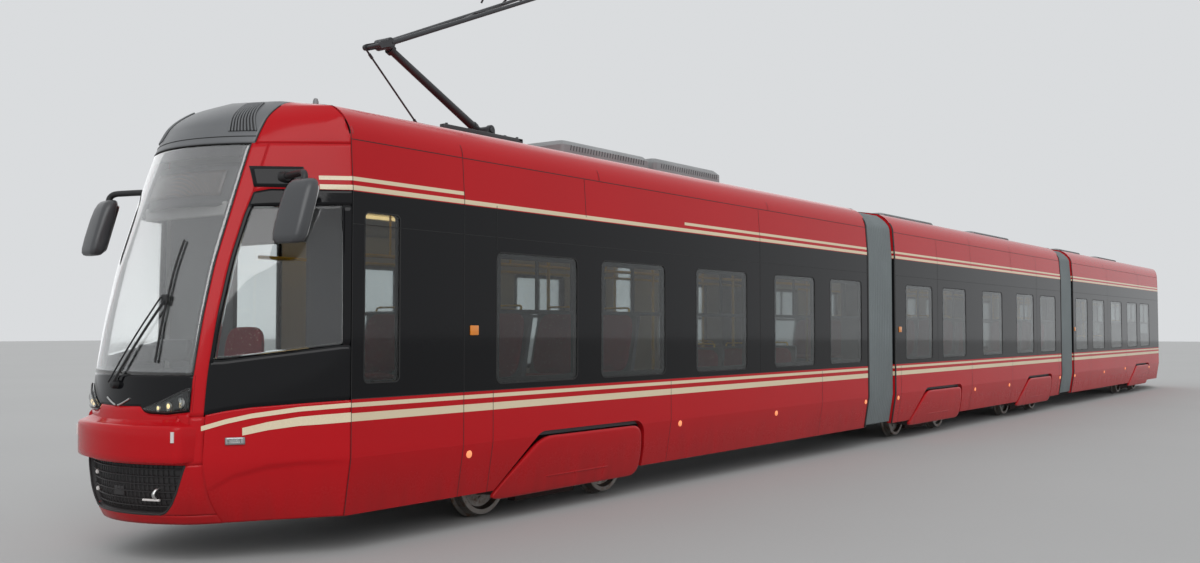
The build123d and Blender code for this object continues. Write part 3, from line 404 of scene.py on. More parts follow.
RED = (0.50, 0.007, 0.012)
CREAM = (0.78, 0.66, 0.46)
GLOSS_BLACK = (0.006, 0.006, 0.007)
BAND_LOW, BAND_HIGH = 1.125, 2.645
WHOLE_LENGTH = (NOSE, TAIL)
STRIPES = [
    # low, high, then the stretches along the tram that carry the stripe
    (1.068, 1.100, [WHOLE_LENGTH]),
    (0.965, 1.025, [WHOLE_LENGTH]),
    (2.652, 2.688, [WHOLE_LENGTH]),
    (2.722, 2.752, [(-16, -13.6), (-10.2, 16)]),
]


def livery(shader, base, rough):
    """Red body, glossy black window band, cream stripes, and pale grey where a face looks inwards."""
    whole, x, y, z = shader.place()
    band = shader.between(z, BAND_LOW, BAND_HIGH)
    colour = shader.mix(band, base, GLOSS_BLACK)
    stripe = None
    for low, high, stretches in STRIPES:
        height = shader.between(z, low, high)
        for stretch in stretches:
            part = height if stretch == WHOLE_LENGTH else shader.times(height, shader.between(x, *stretch))
            stripe = part if stripe is None else shader.maths("MAXIMUM", stripe, part)
    colour = shader.mix(stripe, colour, CREAM)
    normal = shader.split(shader.add("TexCoord", output="Normal"))
    inward = shader.times(normal[1], shader.maths("SIGN", y))
    inward = shader.maths("ADD", inward, shader.times(normal[2], shader.maths("GREATER_THAN", z, 3.0)))
    inside = shader.maths("LESS_THAN", inward, -0.3)
    colour = shader.mix(inside, colour, (0.42, 0.42, 0.41))
    rough = shader.ramp(band, 0.0, 1.0, rough, 0.06)
    return colour, shader.maths("MAXIMUM", rough, shader.times(inside, 0.5))


def scaled(colour, factor):
    """A colour times a factor, with no channel above 1."""
    return tuple(min(1, channel * factor) for channel in colour)


def tinted(shader, base, rough):
    """Glass colour with slow variation from pane to pane."""
    cloud = shader.noise(0.35, 2.0, shader.place()[0])
    return shader.mix(shader.ramp(cloud, 0.4, 0.6), base, scaled(base, 1.35)), rough


def scratched(shader, base, rough):
    """Turned or brushed metal: fine lines and brown rust in patches."""
    whole = shader.place()[0]
    lines = shader.noise(1.0, 6.0, shader.stretch(whole, 200, 12, 200))
    rust = shader.ramp(shader.noise(11.0, 6.0, whole, 0.65), 0.52, 0.66)
    colour = shader.mix(shader.ramp(lines, 0.3, 0.7, 0.0, 0.35), base, (0.05, 0.045, 0.04))
    colour = shader.mix(shader.times(rust, 0.75), colour, (0.16, 0.07, 0.03))
    return colour, shader.maths("ADD", rough, shader.times(rust, 0.35))


def woven(shader, base, rough):
    """Plush cloth: crossed threads and small lighter flecks."""
    whole = shader.place()[0]
    waves = shader.add("TexWave", {"Vector": whole, "Scale": 160.0, "Distortion": 1.5})
    flecks = shader.add("TexVoronoi", {"Vector": whole, "Scale": 38.0})
    colour = shader.mix(shader.ramp(waves, 0.2, 0.8, 0.0, 0.5), base, scaled(base, 0.45))
    return shader.mix(shader.ramp(flecks, 0.10, 0.16, 1.0, 0.0), colour, (0.62, 0.55, 0.40)), rough


def pleated(shader, base, rough):
    """Bellows cloth: darker towards the floor, in cloudy patches."""
    whole, x, y, z = shader.place()
    # Cloudy darkening towards the bottom of the cloth
    lower_darkening = shader.times(shader.ramp(z, 0.3, 1.6, 0.55, 0.0), shader.noise(4.0, 4.0, whole))
    return shader.mix(lower_darkening, base, scaled(base, 0.35)), rough


def dotted(shader, base, rough):
    """A blank matrix display: a fine lattice of unlit points."""
    dots = shader.add("TexVoronoi", {"Vector": shader.place()[0], "Scale": 95.0, "Randomness": 0.0})
    return shader.mix(shader.ramp(dots, 0.25, 0.32, 1.0, 0.0), base, (0.30, 0.11, 0.02)), rough


def speckled(shader, base, rough):
    """Floor covering: small light and dark grains."""
    grains = shader.noise(240.0, 1.0, shader.place()[0])
    return shader.mix(shader.ramp(grains, 0.42, 0.62, 0.0, 0.6), base, scaled(base, 1.7)), rough


# Finishes: name, material slot, base colour and roughness, then what differs from a plain one

# The body's dust reaches 0.74 m, just above the crease: painted shade that darkens the skirt below it, with
# dirt streaks in it
body_finish = dict(coat=0.08, vary=0.06, patch=0.7, bump=0.015, dust=0.6, dust_height=0.74,
                   Specular_IOR_Level=0.15)
glass_finish = dict(vary=0.0, bump=0.0, build=tinted, Transmission_Weight=1.0)
paint = material("body_livery", "red_paint", RED, 0.16, build=livery, **body_finish)
red = material("red_paint", "red_paint", RED, 0.16, **body_finish)
cream = material("cream_stripe", "red_paint", CREAM, 0.25, coat=0.5, vary=0.05, bump=0.01)
gloss_black = material("gloss_black", "black_plastic", GLOSS_BLACK, 0.07, coat=0.05, vary=0.05, bump=0.01,
                       dust=0.25, Specular_IOR_Level=0.2)
charcoal = material("charcoal_cap", "charcoal_paint", (0.145, 0.150, 0.156), 0.40, patch=2.2, bump=0.08,
                    grain=180.0)
black_plastic = material("black_plastic", "black_plastic", (0.017, 0.017, 0.018), 0.46, vary=0.15, bump=0.25,
                         grain=420.0, dust=0.25)
mirror_grey = material("mirror_housing", "black_plastic", (0.062, 0.064, 0.068), 0.32, bump=0.18, grain=380.0)
seal = material("rubber_seal", "black_plastic", (0.012, 0.012, 0.012), 0.62, vary=0.2, bump=0.15, grain=200.0,
                dust=0.4)
clear_glass = material("clear_glass", "tinted_glass", (0.86, 0.90, 0.89), 0.02, IOR=1.45, **glass_finish)
screen_glass = material("screen_glass", "tinted_glass", (0.90, 0.94, 0.93), 0.02, coat=0.9, IOR=1.5,
                        Coat_IOR=2.0, **glass_finish)
dark_glass = material("tinted_glass", "tinted_glass", (0.42, 0.45, 0.45), 0.02, IOR=1.45, **glass_finish)
roof_grey = material("roof_grey", "roof_grey", (0.26, 0.265, 0.27), 0.42, vary=0.25, patch=2.5, bump=0.12,
                     grain=140.0)
bellows_grey = material("bellows_cloth", "bellows_rubber", (0.175, 0.200, 0.205), 0.62, vary=0.15, bump=0.35,
                        grain=260.0, build=pleated)
bogie_dark = material("bogie_paint", "bogie_paint", (0.035, 0.035, 0.036), 0.55, vary=0.3, patch=6.0,
                      bump=0.3, dust=0.9, dust_height=0.9)
wheel_steel = material("wheel_steel", "wheel_steel", (0.30, 0.28, 0.26), 0.38, metal=0.9, vary=0.2, bump=0.15,
                       build=scratched)
bright_steel = material("bright_steel", "wheel_steel", (0.55, 0.55, 0.54), 0.28, metal=1.0, vary=0.1,
                        bump=0.08, grain=200.0)
dark_metal = material("dark_metal", "pantograph_metal", (0.060, 0.062, 0.066), 0.42, metal=0.4, vary=0.2,
                      patch=5.0, bump=0.15, grain=160.0)
aluminium = material("aluminium", "wheel_steel", (0.42, 0.43, 0.44), 0.34, metal=0.9, bump=0.08, grain=220.0)
floor_grey = material("saloon_floor", "floor_grey", (0.075, 0.078, 0.085), 0.55, vary=0.1, bump=0.1,
                      build=speckled)
inner_grey = material("inner_panel", "inner_panel", (0.40, 0.40, 0.39), 0.45, vary=0.06, bump=0.06,
                      grain=120.0)
seat_shell = material("seat_shell", "black_plastic", (0.10, 0.10, 0.11), 0.4, vary=0.1, bump=0.12,
                      grain=220.0)
seat_cloth = material("seat_cloth", "seat_fabric", (0.22, 0.012, 0.020), 0.85, vary=0.1, bump=0.4,
                      grain=300.0, build=woven)
lamp_marker = material("lamp_marker", "lamp_clear", (0.90, 0.30, 0.12), 0.25, vary=0.05, bump=0.02,
                       Emission_Color=(1.0, 0.36, 0.16, 1), Emission_Strength=0.5)
cab_lining = material("cab_lining", "inner_panel", (0.085, 0.087, 0.090), 0.55, vary=0.1, bump=0.12,
                      grain=200.0)
pole_yellow = material("pole_yellow", "inner_panel", (0.72, 0.46, 0.02), 0.3, coat=0.4, vary=0.05, bump=0.03)
lamp_clear = material("lamp_clear", "lamp_clear", (0.93, 0.93, 0.90), 0.04, vary=0.04, bump=0.0,
                      Transmission_Weight=0.9)
reflector_white = material("reflector_white", "lamp_clear", (0.72, 0.68, 0.66), 0.22, vary=0.05, bump=0.1,
                           grain=500.0, Specular_IOR_Level=0.6)
lamp_red = material("lamp_red", "lamp_red", (0.42, 0.010, 0.010), 0.12, coat=0.7, vary=0.1, bump=0.1,
                    grain=300.0)
lamp_amber = material("lamp_amber", "lamp_clear", (0.80, 0.24, 0.010), 0.14, coat=0.7, vary=0.1, bump=0.1,
                      grain=300.0)
lamp_warm = material("lamp_warm", "lamp_clear", (0.95, 0.80, 0.48), 0.2, vary=0.05, bump=0.02,
                     Emission_Color=(1.0, 0.72, 0.32, 1), Emission_Strength=1.2)
insulator = material("insulator_brown", "pantograph_metal", (0.10, 0.035, 0.02), 0.18, coat=0.8, vary=0.15)
carbon = material("carbon_strip", "pantograph_metal", (0.03, 0.03, 0.032), 0.5, vary=0.2, bump=0.2,
                  grain=400.0)
display = material("display_panel", "lamp_clear", (0.010, 0.010, 0.010), 0.3, vary=0.05, bump=0.0,
                   build=dotted)


# The body's section and the nose


def body_half(z):
    """Half width of the body at a height: straight skirt, wall and shoulder, then two arcs."""
    z = np.asarray(z, float)
    low = np.interp(z, [SKIRT_LOW, CREASE, CANTRAIL, SHOULDER], [HALF - 0.07, HALF, HALF, HALF - 0.025])
    rise = np.clip((z - SHOULDER) / (ROOF_EDGE - SHOULDER), 0, 1)
    shoulder = (HALF - 0.025) - 0.21 * rise**2.1
    crown = CROWN_HALF * np.sqrt(np.clip((CROWN - z) / (CROWN - ROOF_EDGE), 0, 1))
    return np.where(z <= SHOULDER, low, np.where(z <= ROOF_EDGE, shoulder, crown))


def crown_z(y):
    """The roof's height: a parabola across the crown."""
    return CROWN - (CROWN - ROOF_EDGE) * (y / CROWN_HALF) ** 2


LEVELS = np.array([
    # height, middle and corner behind the foremost point, half width of the corner
    (0.10, 0.21, 0.42, 0.52), (0.28, 0.130, 0.320, 0.560), (0.42, 0.075, 0.255, 0.590),
    (0.70, 0.055, 0.225, 0.612),
    (1.09, 0.080, 0.250, 0.612), (1.315, 0.100, 0.270, 0.612), (1.70, 0.165, 0.340, 0.614),
    (2.10, 0.245, 0.435, 0.615), (2.70, 0.445, 0.635, 0.618), (3.03, 0.565, 0.750, 0.620),
    (3.26, 0.700, 0.870, 0.600), (3.38, 0.980, 1.080, 0.560), (3.50, 1.300, 1.300, 0.520),
])
WIDEST_CORNER, BLEND, BLEND_FADE = 0.86, 0.035, 0.4


def level(z, window=0.09):
    """Middle, corner and corner half width at a height: the table averaged over a short window."""
    z = np.asarray(z, float)[..., None] + np.linspace(-window, window, 9)
    return [np.interp(z, LEVELS[:, 0], LEVELS[:, k]).mean(-1) for k in (1, 2, 3)]


def nose_t(y, z):
    """How far the outer face lies behind the foremost point: the larger of a parabola across
    the front and a straight flank, joined smoothly: (a + b + sqrt((a - b)^2 + e^2)) / 2."""
    y = np.abs(np.asarray(y, float))
    z = np.asarray(z, float)
    middle, corner, half = level(z)
    seam = np.maximum(body_half(z), 1e-3)
    half = np.minimum(half, WIDEST_CORNER * seam)
    front = middle + (corner - middle) * (y / half) ** 2
    flank = corner + (y - half) * (CAB_SEAM - corner) / np.maximum(seam - half, 1e-3)
    blend = BLEND * np.clip((CAB_SEAM - np.maximum(front, flank)) / BLEND_FADE, 0, 1)
    return (front + flank + np.sqrt((front - flank) ** 2 + blend**2)) / 2


def flank_y(t, z):
    """Half width of the flank at a place behind the nose: nose_t solved for y by halving."""
    t, z = np.broadcast_arrays(np.asarray(t, float), np.asarray(z, float))
    low, high = np.full(t.shape, 0.3), body_half(z) + 0.0
    for _ in range(32):
        middle = (low + high) / 2
        behind = nose_t(middle, z) > t
        high = np.where(behind, middle, high)
        low = np.where(behind, low, middle)
    return (low + high) / 2


def curve(*table):
    """A function that runs straight between the table's points."""
    xs, ys = np.array(table).T
    return lambda value: np.interp(value, xs, ys)


# Edges measured along the flank: place behind the nose and height, or height and place
BLACK_TOP = 2.648
NOSE_TOP = 2.99
FRONT_EDGE = 0.66
BLACK_LOW = curve((0.25, 1.015), (0.323, 1.038), (0.45, 1.066), (0.597, 1.086), (0.941, 1.108), (1.2, 1.122))
BLACK_UP = curve((0.62, 2.56), (0.70, 2.625), (0.78, BLACK_TOP), (1.2, BLACK_TOP))
STRIPE_1 = curve((0.25, 0.925), (0.313, 0.950), (0.45, 0.993), (0.598, 1.027), (0.882, 1.065), (1.2, 1.086))
STRIPE_2 = curve((0.40, 0.885), (0.554, 0.921), (0.70, 0.954), (0.881, 0.979), (1.2, 0.998))
PILLAR_BACK = curve((1.0, 0.655), (1.42, 0.657), (1.82, 0.660), (2.20, 0.666), (2.45, 0.674), (2.62, 0.690),
                    (2.99, 0.700))
MASK_LOW = curve((0, 1.093), (0.24, 1.098), (0.275, 1.062), (0.32, 1.048), (0.46, 1.044), (0.61, 1.064))
GRILLE_HALF = curve((0.345, 0.36), (0.370, 0.425), (0.425, 0.478), (0.502, 0.520), (0.603, 0.558),
                    (0.705, 0.592))
SWOOP = curve((0.25, 0.45), (0.36, 0.54), (0.50, 0.635), (0.70, 0.690), (0.90, 0.706), (1.2, 0.70))
GRILLE_LOW, BUMPER_LOW, PILLAR_LOW = 0.345, 0.70, 1.03
STRIPE_LIFT, SEAM_LIFT = 0.0015, 0.0012


def mask_low(y):
    """The mask's lower edge: the table at the distance from the middle."""
    return MASK_LOW(np.abs(y))


def pillar_t(z):
    """The pillar's rear edge as a place behind the nose."""
    return nose_t(PILLAR_BACK(z), z)


def on_nose(y, z, lift=0.0):
    """Points on the nose: (NOSE + t, y, z) moved along the normal (-1, dt/dy, dt/dz)."""
    y, z = np.broadcast_arrays(np.asarray(y, float), np.asarray(z, float))
    step = 0.004
    across = (nose_t(y + step, z) - nose_t(y - step, z)) / (2 * step)
    upward = (nose_t(y, z + step) - nose_t(y, z - step)) / (2 * step)
    size = np.sqrt(1 + across**2 + upward**2)
    return spots(NOSE + nose_t(y, z) - lift / size, y + lift * across / size, z + lift * upward / size)


def nose_sheet(left, right, low, high, rows=24, columns=24, lift=0.0):
    """A sheet on the nose: y runs between two edges given by height, z between two levels."""
    v, u = shares(rows, columns)
    z = low + (high - low) * v + 0 * u
    return grid(on_nose(at(left, z) + (at(right, z) - at(left, z)) * u, z, lift), flip=True)


def nose_band(left, right, low, high, rows=8, columns=48, lift=0.0):
    """A sheet on the nose: z runs between two edges given by y."""
    v, u = shares(rows, columns)
    y = left + (right - left) * u + 0 * v
    return grid(on_nose(y, mixed(at(low, y), at(high, y), v), lift), flip=True)


def flank_band(t0, t1, low, high, rows=6, columns=40, lift=0.0):
    """A sheet on the left flank: t runs between two places or edges, z between two edges."""
    v, u = shares(rows, columns)
    z = np.full((rows, columns), 1.5)
    for _ in range(6):
        t = mixed(at(t0, z), t1, u)
        z = mixed(at(low, t), at(high, t), v)
    return grid(on_nose(-flank_y(t, z), z, lift))


def follow(y, z, lift, radius, sides=8):
    """A bar that lies on the nose along y and z, lifted off it."""
    return tube(on_nose(y, z, lift), radius, sides)


def scooped_flank(rows=66, columns=60):
    """The flank from its front edge to the seam. Below the swoop line it is moved inwards by a
    smooth step, 3s^2 - 2s^3, that fades out towards the nose and the seam as sin^0.7."""
    v, u = shares(rows, columns)
    z = SKIRT_LOW
    for _ in range(2):
        t = mixed(nose_t(FRONT_EDGE, z), CAB_SEAM, u) + 0 * v
        z = mixed(SKIRT_LOW, BLACK_LOW(t), v)
    step = np.clip((SWOOP(t) - z) / 0.05, 0, 1)
    fade = np.sin(np.pi * np.clip((t - 0.26) / 0.94, 0, 1)) ** 0.7
    shift = 0.016 * fade * step**2 * (3 - 2 * step)
    return grid(spots(NOSE + t, shift - flank_y(t, z), z))


def dome(cap, rows=34, columns=30):
    """The nose above the screen: rows crowd towards the crown as 1 - (1 - v)^2."""
    v, u = shares(rows, columns)
    top = CROWN_TOP if cap else CAP_FOOT
    z = NOSE_TOP + (top - NOSE_TOP) * (1 - (1 - v) ** 2) + 0 * u
    edge = body_half(z)
    half = np.minimum(CAP_HALF, edge)
    y = -half + 2 * half * u if cap else -edge + (edge - np.minimum(CAP_HALF, edge - 1e-4)) * u
    return grid(spots(NOSE + np.minimum(nose_t(y, z), CAB_SEAM), y, z), flip=True)


shell_parts = sided(
    nose_sheet(lambda z: -PILLAR_BACK(z), -SCREEN_HALF, PILLAR_LOW, NOSE_TOP, 60, 8),
    scooped_flank(),
    flank_band(pillar_t, CAB_SEAM, BLACK_UP, NOSE_TOP, 16, 44),
    nose_sheet(-FRONT_EDGE, lambda z: -GRILLE_HALF(z), GRILLE_LOW, BUMPER_LOW, 24, 8),
    nose_sheet(-FRONT_EDGE, -SCREEN_HALF, BUMPER_LOW, PILLAR_LOW, 12, 6),
)
shell_parts += [
    nose_sheet(-FRONT_EDGE, FRONT_EDGE, SKIRT_LOW, GRILLE_LOW, 5, 60),
    nose_band(-SCREEN_HALF, SCREEN_HALF, BUMPER_LOW, mask_low, 12, 72),
    *sided(dome(False)),
]
piece("cab_shell_panels", shell_parts, [red, inner_grey], smooth=35, replaces=["cab_shell"], wall=0.03)

y = np.linspace(-CAP_HALF, CAP_HALF, 61)
z = np.minimum(crown_z(y), CROWN_TOP)
first = np.minimum(nose_t(y, z), CAB_SEAM)
crown_fill = spots(NOSE + (first + (CAB_SEAM - first) * np.linspace(0, 1, 5)[:, None]), y, z)
y = np.linspace(-CAP_HALF, CAP_HALF, 41)
roof_strip = spots(NOSE + np.linspace(CAB_SEAM, CAP_END, 6)[:, None], y, crown_z(y))
cap_parts = [dome(True, 40, 61), grid(crown_fill, flip=True), grid(roof_strip, flip=True)]
piece("roof_cap_moulding", cap_parts, [charcoal, inner_grey], replaces=["roof_cap"], wall=0.03)
screen = nose_sheet(-SCREEN_HALF, SCREEN_HALF, SCREEN_LOW, SCREEN_HIGH, 60, 60)
piece("windscreen_glass", [screen], screen_glass, smooth=60, replaces=["windscreen"], wall=0.010)


# Helpers that follow the body


def section_path(low=SKIRT_LOW, high=CROWN, lift=0.0, dropped=0):
    """Half of the body's section from a low to a high level, as y and z, moved out along its normals."""
    z = np.concatenate([[SKIRT_LOW, CREASE, CANTRAIL], np.linspace(SHOULDER, ROOF_EDGE, 12)])
    arc = np.linspace(CROWN_HALF, 0, 16)[1:]
    y = np.concatenate([body_half(z), arc])
    z = np.concatenate([z, crown_z(arc)])
    keep = (z > low + 1e-4) & (z < high - 1e-4)
    ends = [np.interp(level_z, z, y) for level_z in (low, high)]
    y = np.concatenate([[ends[0]], y[keep], [ends[1]]])
    z = np.concatenate([[low], z[keep], [high]])
    y, z = y[:len(y) - dropped], z[:len(z) - dropped]
    away = np.gradient(z), -np.gradient(y)
    size = np.hypot(*away)
    return y + lift * away[0] / size, z + lift * away[1] / size


def hoop(x0, x1, low, high, lift=0.002, side=-1):
    """A thin strip round one side of the body between two levels."""
    y, z = section_path(low, high, lift)
    return grid([spots(x, side * y, z) for x in (x0, x1)], flip=side < 0)


def round_polygon(points, radius, steps=5):
    """A polygon whose corners are quadratic curves that start a radius before each corner."""
    points = np.asarray(points, float)
    ends = []
    for near in (np.roll(points, 1, 0), np.roll(points, -1, 0)):
        reach = np.minimum(radius / np.linalg.norm(near - points, axis=1), 0.48)[:, None]
        ends.append((points + (near - points) * reach)[:, None])
    share = np.linspace(0, 1, steps)[None, :, None]
    return rounded(ends[0], points[:, None], ends[1], share).reshape(-1, 2)


def shrink(flat, amount):
    """A closed outline moved in along its corners' normals."""
    along = np.roll(flat, -1, 0) - np.roll(flat, 1, 0)
    normal = np.stack([-along[:, 1], along[:, 0]], axis=1)
    normal /= np.linalg.norm(normal, axis=1)[:, None]
    area = (flat[:, 0] * np.roll(flat[:, 1], -1) - np.roll(flat[:, 0], -1) * flat[:, 1]).sum()
    return flat + normal * amount * np.sign(area)


# The cab's sides: black glass area, clear window, stripes, lamp and mirror plate

WINDOW_END = 1.145
window_low = curve((0.44, 1.42), (WINDOW_END, 1.52))
window_high = curve((0.65, 2.52), (WINDOW_END, 2.54))
edge_z = 1.40 + (2.53 - 1.40) * np.linspace(0, 1, 40)[:, None] + np.zeros((1, 4))
edge_t = pillar_t(edge_z) + 0.0225 * np.linspace(0, 1, 4)[None, :]
side_black = sided(
    flank_band(pillar_t, CAB_SEAM, BLACK_LOW, window_low, 12, 44),
    flank_band(pillar_t, CAB_SEAM, window_high, BLACK_UP, 6, 44),
    flank_band(WINDOW_END, CAB_SEAM, 1.52, 2.54, 24, 4),
    grid(on_nose(-flank_y(edge_t, edge_z), edge_z)),
)
piece("cab_side_glazing", side_black, gloss_black, "tinted_glass", smooth=50, wall=0.012)
cab_pane = flank_band(lambda z: pillar_t(z) + 0.022, 1.146, window_low, window_high, 40, 40, -0.001)


def cab_stripe(start, middle, half, columns=50):
    """A stripe on the flank: a line of heights, and the stripe's half width along it."""
    low, high = (lambda t: middle(t) - half(t)), (lambda t: middle(t) + half(t))
    return flank_band(start, CAB_SEAM, low, high, 3, columns, STRIPE_LIFT)


cab_stripes = sided(
    cab_stripe(0.310, STRIPE_1, lambda t: 0.0165),
    cab_stripe(0.545, STRIPE_2, lambda t: 0.026 + 0.008 * np.clip((t - 0.52) / 0.5, 0, 1)),
    *[flank_band(1.03, CAB_SEAM, low, high, 3, 10, STRIPE_LIFT) for low, high, _ in STRIPES[2:]],
)
piece("cab_stripes", cab_stripes, cream, smooth=50)
piece("mirror_plates", sided(flank_band(0.70, 0.96, 2.66, 2.815, 6, 12, 0.004)), gloss_black, wall=0.006)
side_lamp = flank_band(0.445, 0.560, 0.832, 0.882, 6, 8, 0.011)
piece("side_lamps", sided(side_lamp), aluminium, "lamp_clear", wall=0.010)
piece("side_lamp_lenses", sided(flank_band(0.458, 0.535, 0.842, 0.872, 4, 6, 0.014)), lamp_clear, wall=0.004)


# Saloon windows: panes, frames, opening upper panes

PODIUM_PANES = [(-4.05, -2.95), (-2.5, -1.4), (1.4, 2.5), (2.95, 4.05)]
WINDOWS = {  # the windows of the left side, then of the right side
    "front": ([(-13.2, -12.07), (-11.7, -10.58), (-9.98, -8.86), (-8.2, -7.1), (-6.65, -5.65)],
              [(-13.2, -12.07), (-11.7, -10.58), (-10.25, -9.3), (-7.2, -5.9)]),
    "middle": ([*PODIUM_PANES[:2], (-0.55, 0.55), *PODIUM_PANES[2:]], PODIUM_PANES),
    "rear": ([(5.65, 6.65), (7.1, 8.2), (8.86, 9.98), (10.58, 11.7), (12.07, 13.2)],
             [(5.9, 7.2), (9.3, 10.25), (10.58, 11.7), (12.07, 13.2)]),
}
LEAVES = {
    "front": [(-14.3, -13.5), (-9.0, -8.35), (-8.35, -7.7)],
    "middle": [(-0.65, 0.0), (0.0, 0.65)],
    "rear": [(13.3, 14.1), (7.7, 8.35), (8.35, 9.0)],
}
WINDOW_LOW, WINDOW_HIGH, RAIL = 1.18, 2.28, 1.785
PANE_Y, FRAME_Y, SEAL_Y = HALF - 0.004, HALF - 0.0175, HALF + SEAM_LIFT


def widened(x0, x1, z0, z1, by):
    """A box in X and Z whose four sides are moved out by a distance."""
    return x0 - by, x1 + by, z0 - by, z1 + by


for car, sides in WINDOWS.items():
    panes, frames, trims = [], [], []
    for side, places in zip(SIDES, sides):
        for x0, x1 in places:
            box = (x0, x1, WINDOW_LOW, WINDOW_HIGH)
            panes.append(flat_pane(*box, PANE_Y, side))
            frames.append(ring_frame(*widened(*box, -0.004), FRAME_Y, side, 0.045, 0.03))
            y = side * FRAME_Y, side * (HALF - 0.045)
            frames.append(round_block(x0 + 0.03, x1 - 0.03, *y, RAIL - 0.018, RAIL + 0.018, 0.004))
            for bar in ((x0 + x1) / 2 - 0.012, x0 + 0.045, x1 - 0.070):
                frames.append(round_block(bar, bar + 0.025, *y, RAIL + 0.018, WINDOW_HIGH - 0.03, 0.004))
            trims.append(ring_frame(*widened(*box, 0.006), SEAL_Y, side, 0.012, 0.01, 0.075))
    for x0, x1 in LEAVES[car]:
        panes.append(flat_pane(x0 + 0.085, x1 - 0.085, 0.62, 2.45, PANE_Y, 1))
        frames.append(ring_frame(x0 + 0.075, x1 - 0.075, 0.61, 2.46, SEAL_Y, 1, 0.028, 0.03))
    if car == "front":
        box = (-14.68, -14.32, 1.24, 2.50)
        panes.append(flat_pane(*box, PANE_Y, -1, radius=0.04))
        trims.append(ring_frame(*widened(*box, 0.006), SEAL_Y, -1, 0.012, 0.01, 0.045))
        piece("cab_side_windows", sided(cab_pane), clear_glass, smooth=50, wall=0.009)
    body = f"{car}_car"
    piece(f"{car}_window_panes", panes, dark_glass, body=body, replaces=[f"{car}_windows"])
    piece(f"{car}_window_frames", frames, black_plastic, body=body)
    piece(f"{car}_window_seals", trims, seal, body=body)


# Seams, markers and skirt details of the sides

REAR_SEAMS = [(13.24, 0.28, 1.12), (11.94, 2.67, 3.03), (11.70, 3.03, 3.39), (10.48, 0.28, 1.12),
              (8.55, 1.12, 3.03), (8.30, 3.03, 3.39), (6.90, 0.28, 1.12)]
SEAM_TABLE = {
    # x, low and high level of each panel seam
    "front": [(-14.80, 0.28, 3.39), (-13.60, 0.28, 3.39), *[(-x, low, high) for x, low, high in REAR_SEAMS],
              (-13.20, 2.30, 2.67)],
    "middle": [(-4.25, 0.28, 1.12), (-1.12, 0.28, 1.12), (-1.12, 2.67, 3.39), (1.12, 0.28, 1.12),
               (1.12, 2.67, 3.39), (4.25, 0.28, 1.12), (-2.72, 1.12, 3.03), (2.72, 1.12, 3.03)],
    "rear": [(14.40, 0.28, 3.39), *REAR_SEAMS],
}
LEVEL_SEAMS = [(1.128, 0.0025), (2.405, 0.002), (3.03, 0.003)]
DOOR_TOP, SEAM_HALF = 2.6, 0.003
for car, seams in SEAM_TABLE.items():
    lines = []
    for x, low, high in seams:
        for side in SIDES:
            door = side > 0 and low < DOOR_TOP and any(a - 0.02 < x < b + 0.02 for a, b in LEAVES[car])
            if not door:
                lines.append(hoop(x - SEAM_HALF, x + SEAM_HALF, low, high, SEAM_LIFT, side))
    for z, half_height in LEVEL_SEAMS:
        y = float(body_half(z)) + SEAM_LIFT
        for side in SIDES:
            edges = list(CARS[car])
            if side > 0 and z < DOOR_TOP:
                edges = sorted(edges + [edge for leaf in LEAVES[car] for edge in leaf])
            for a, b in zip(edges[::2], edges[1::2]):
                if b - a > 0.01:
                    levels = (z - half_height, z + half_height)
                    corners = [[(x, side * y, height) for x in (a, b)] for height in levels]
                    lines.append(grid(corners, flip=side > 0))
    piece(f"{car}_panel_seams", lines, seal, body=f"{car}_car", smooth=30)

MARKERS = {
    # place and height of each side marker
    "front": [(-13.52, 0.62), (-10.30, 0.66), (-8.15, 0.64), (-5.52, 0.64)],
    "middle": [(-4.35, 0.64), (-0.95, 0.62), (0.95, 0.62), (4.35, 0.64)],
    "rear": [(5.52, 0.64), (8.15, 0.64), (10.30, 0.66), (13.15, 0.62)],
}
BAND_LAMPS = {"front": -13.48, "middle": -4.28, "rear": 5.55}


def side_disc(x, z, side, radius=0.026, thick=0.012):
    """A round lamp on the body's side: rings that step in and out along Y."""
    profile = [(radius * 1.25, -0.002), (radius * 1.25, 0.004), (radius, 0.006), (radius * 0.95, thick * 0.8),
               (radius * 0.6, thick), (radius * 0.1, thick * 1.05)]
    made = lathe([(r, side * (float(body_half(z)) + along)) for r, along in profile], (x, 0, z), "y", 16)
    return made if side > 0 else turned_over(made)


for car, places in MARKERS.items():
    lamps = [side_disc(x, z, side) for x, z in places for side in SIDES
             if side < 0 or not any(a < x < b for a, b in LEAVES[car])]
    piece(f"{car}_side_markers", lamps, lamp_marker, body=f"{car}_car")
    x = BAND_LAMPS[car]
    blocks = [round_block(x - 0.05, x + 0.05, side * (HALF - 0.002), side * (HALF + 0.010), 1.585, 1.665,
                          0.005) for side in SIDES]
    piece(f"{car}_turn_lamps", blocks, lamp_amber, body=f"{car}_car")


# Bogie covers: domed pods with a finger ridge

# A pod's outline about its bogie, and the middle that it shrinks towards, in X and Z
POD = round_polygon([(-1.06, 0.197), (-1.135, 0.235), (-0.525, 0.693), (1.02, 0.693), (1.08, 0.447),
                     (1.06, 0.197)], 0.15, 7)
POD_MIDDLE = np.array([0.05, 0.42])
SKIRT_LEAN = 0.07 / 0.42
POD_STEPS = [
    # how far each line of the pod shrinks, and how far it stands out
    (0.0, -0.024), (0.0, 0.001), (0.004, 0.006), (0.012, 0.0105), (0.028, 0.013), (0.06, 0.014),
]


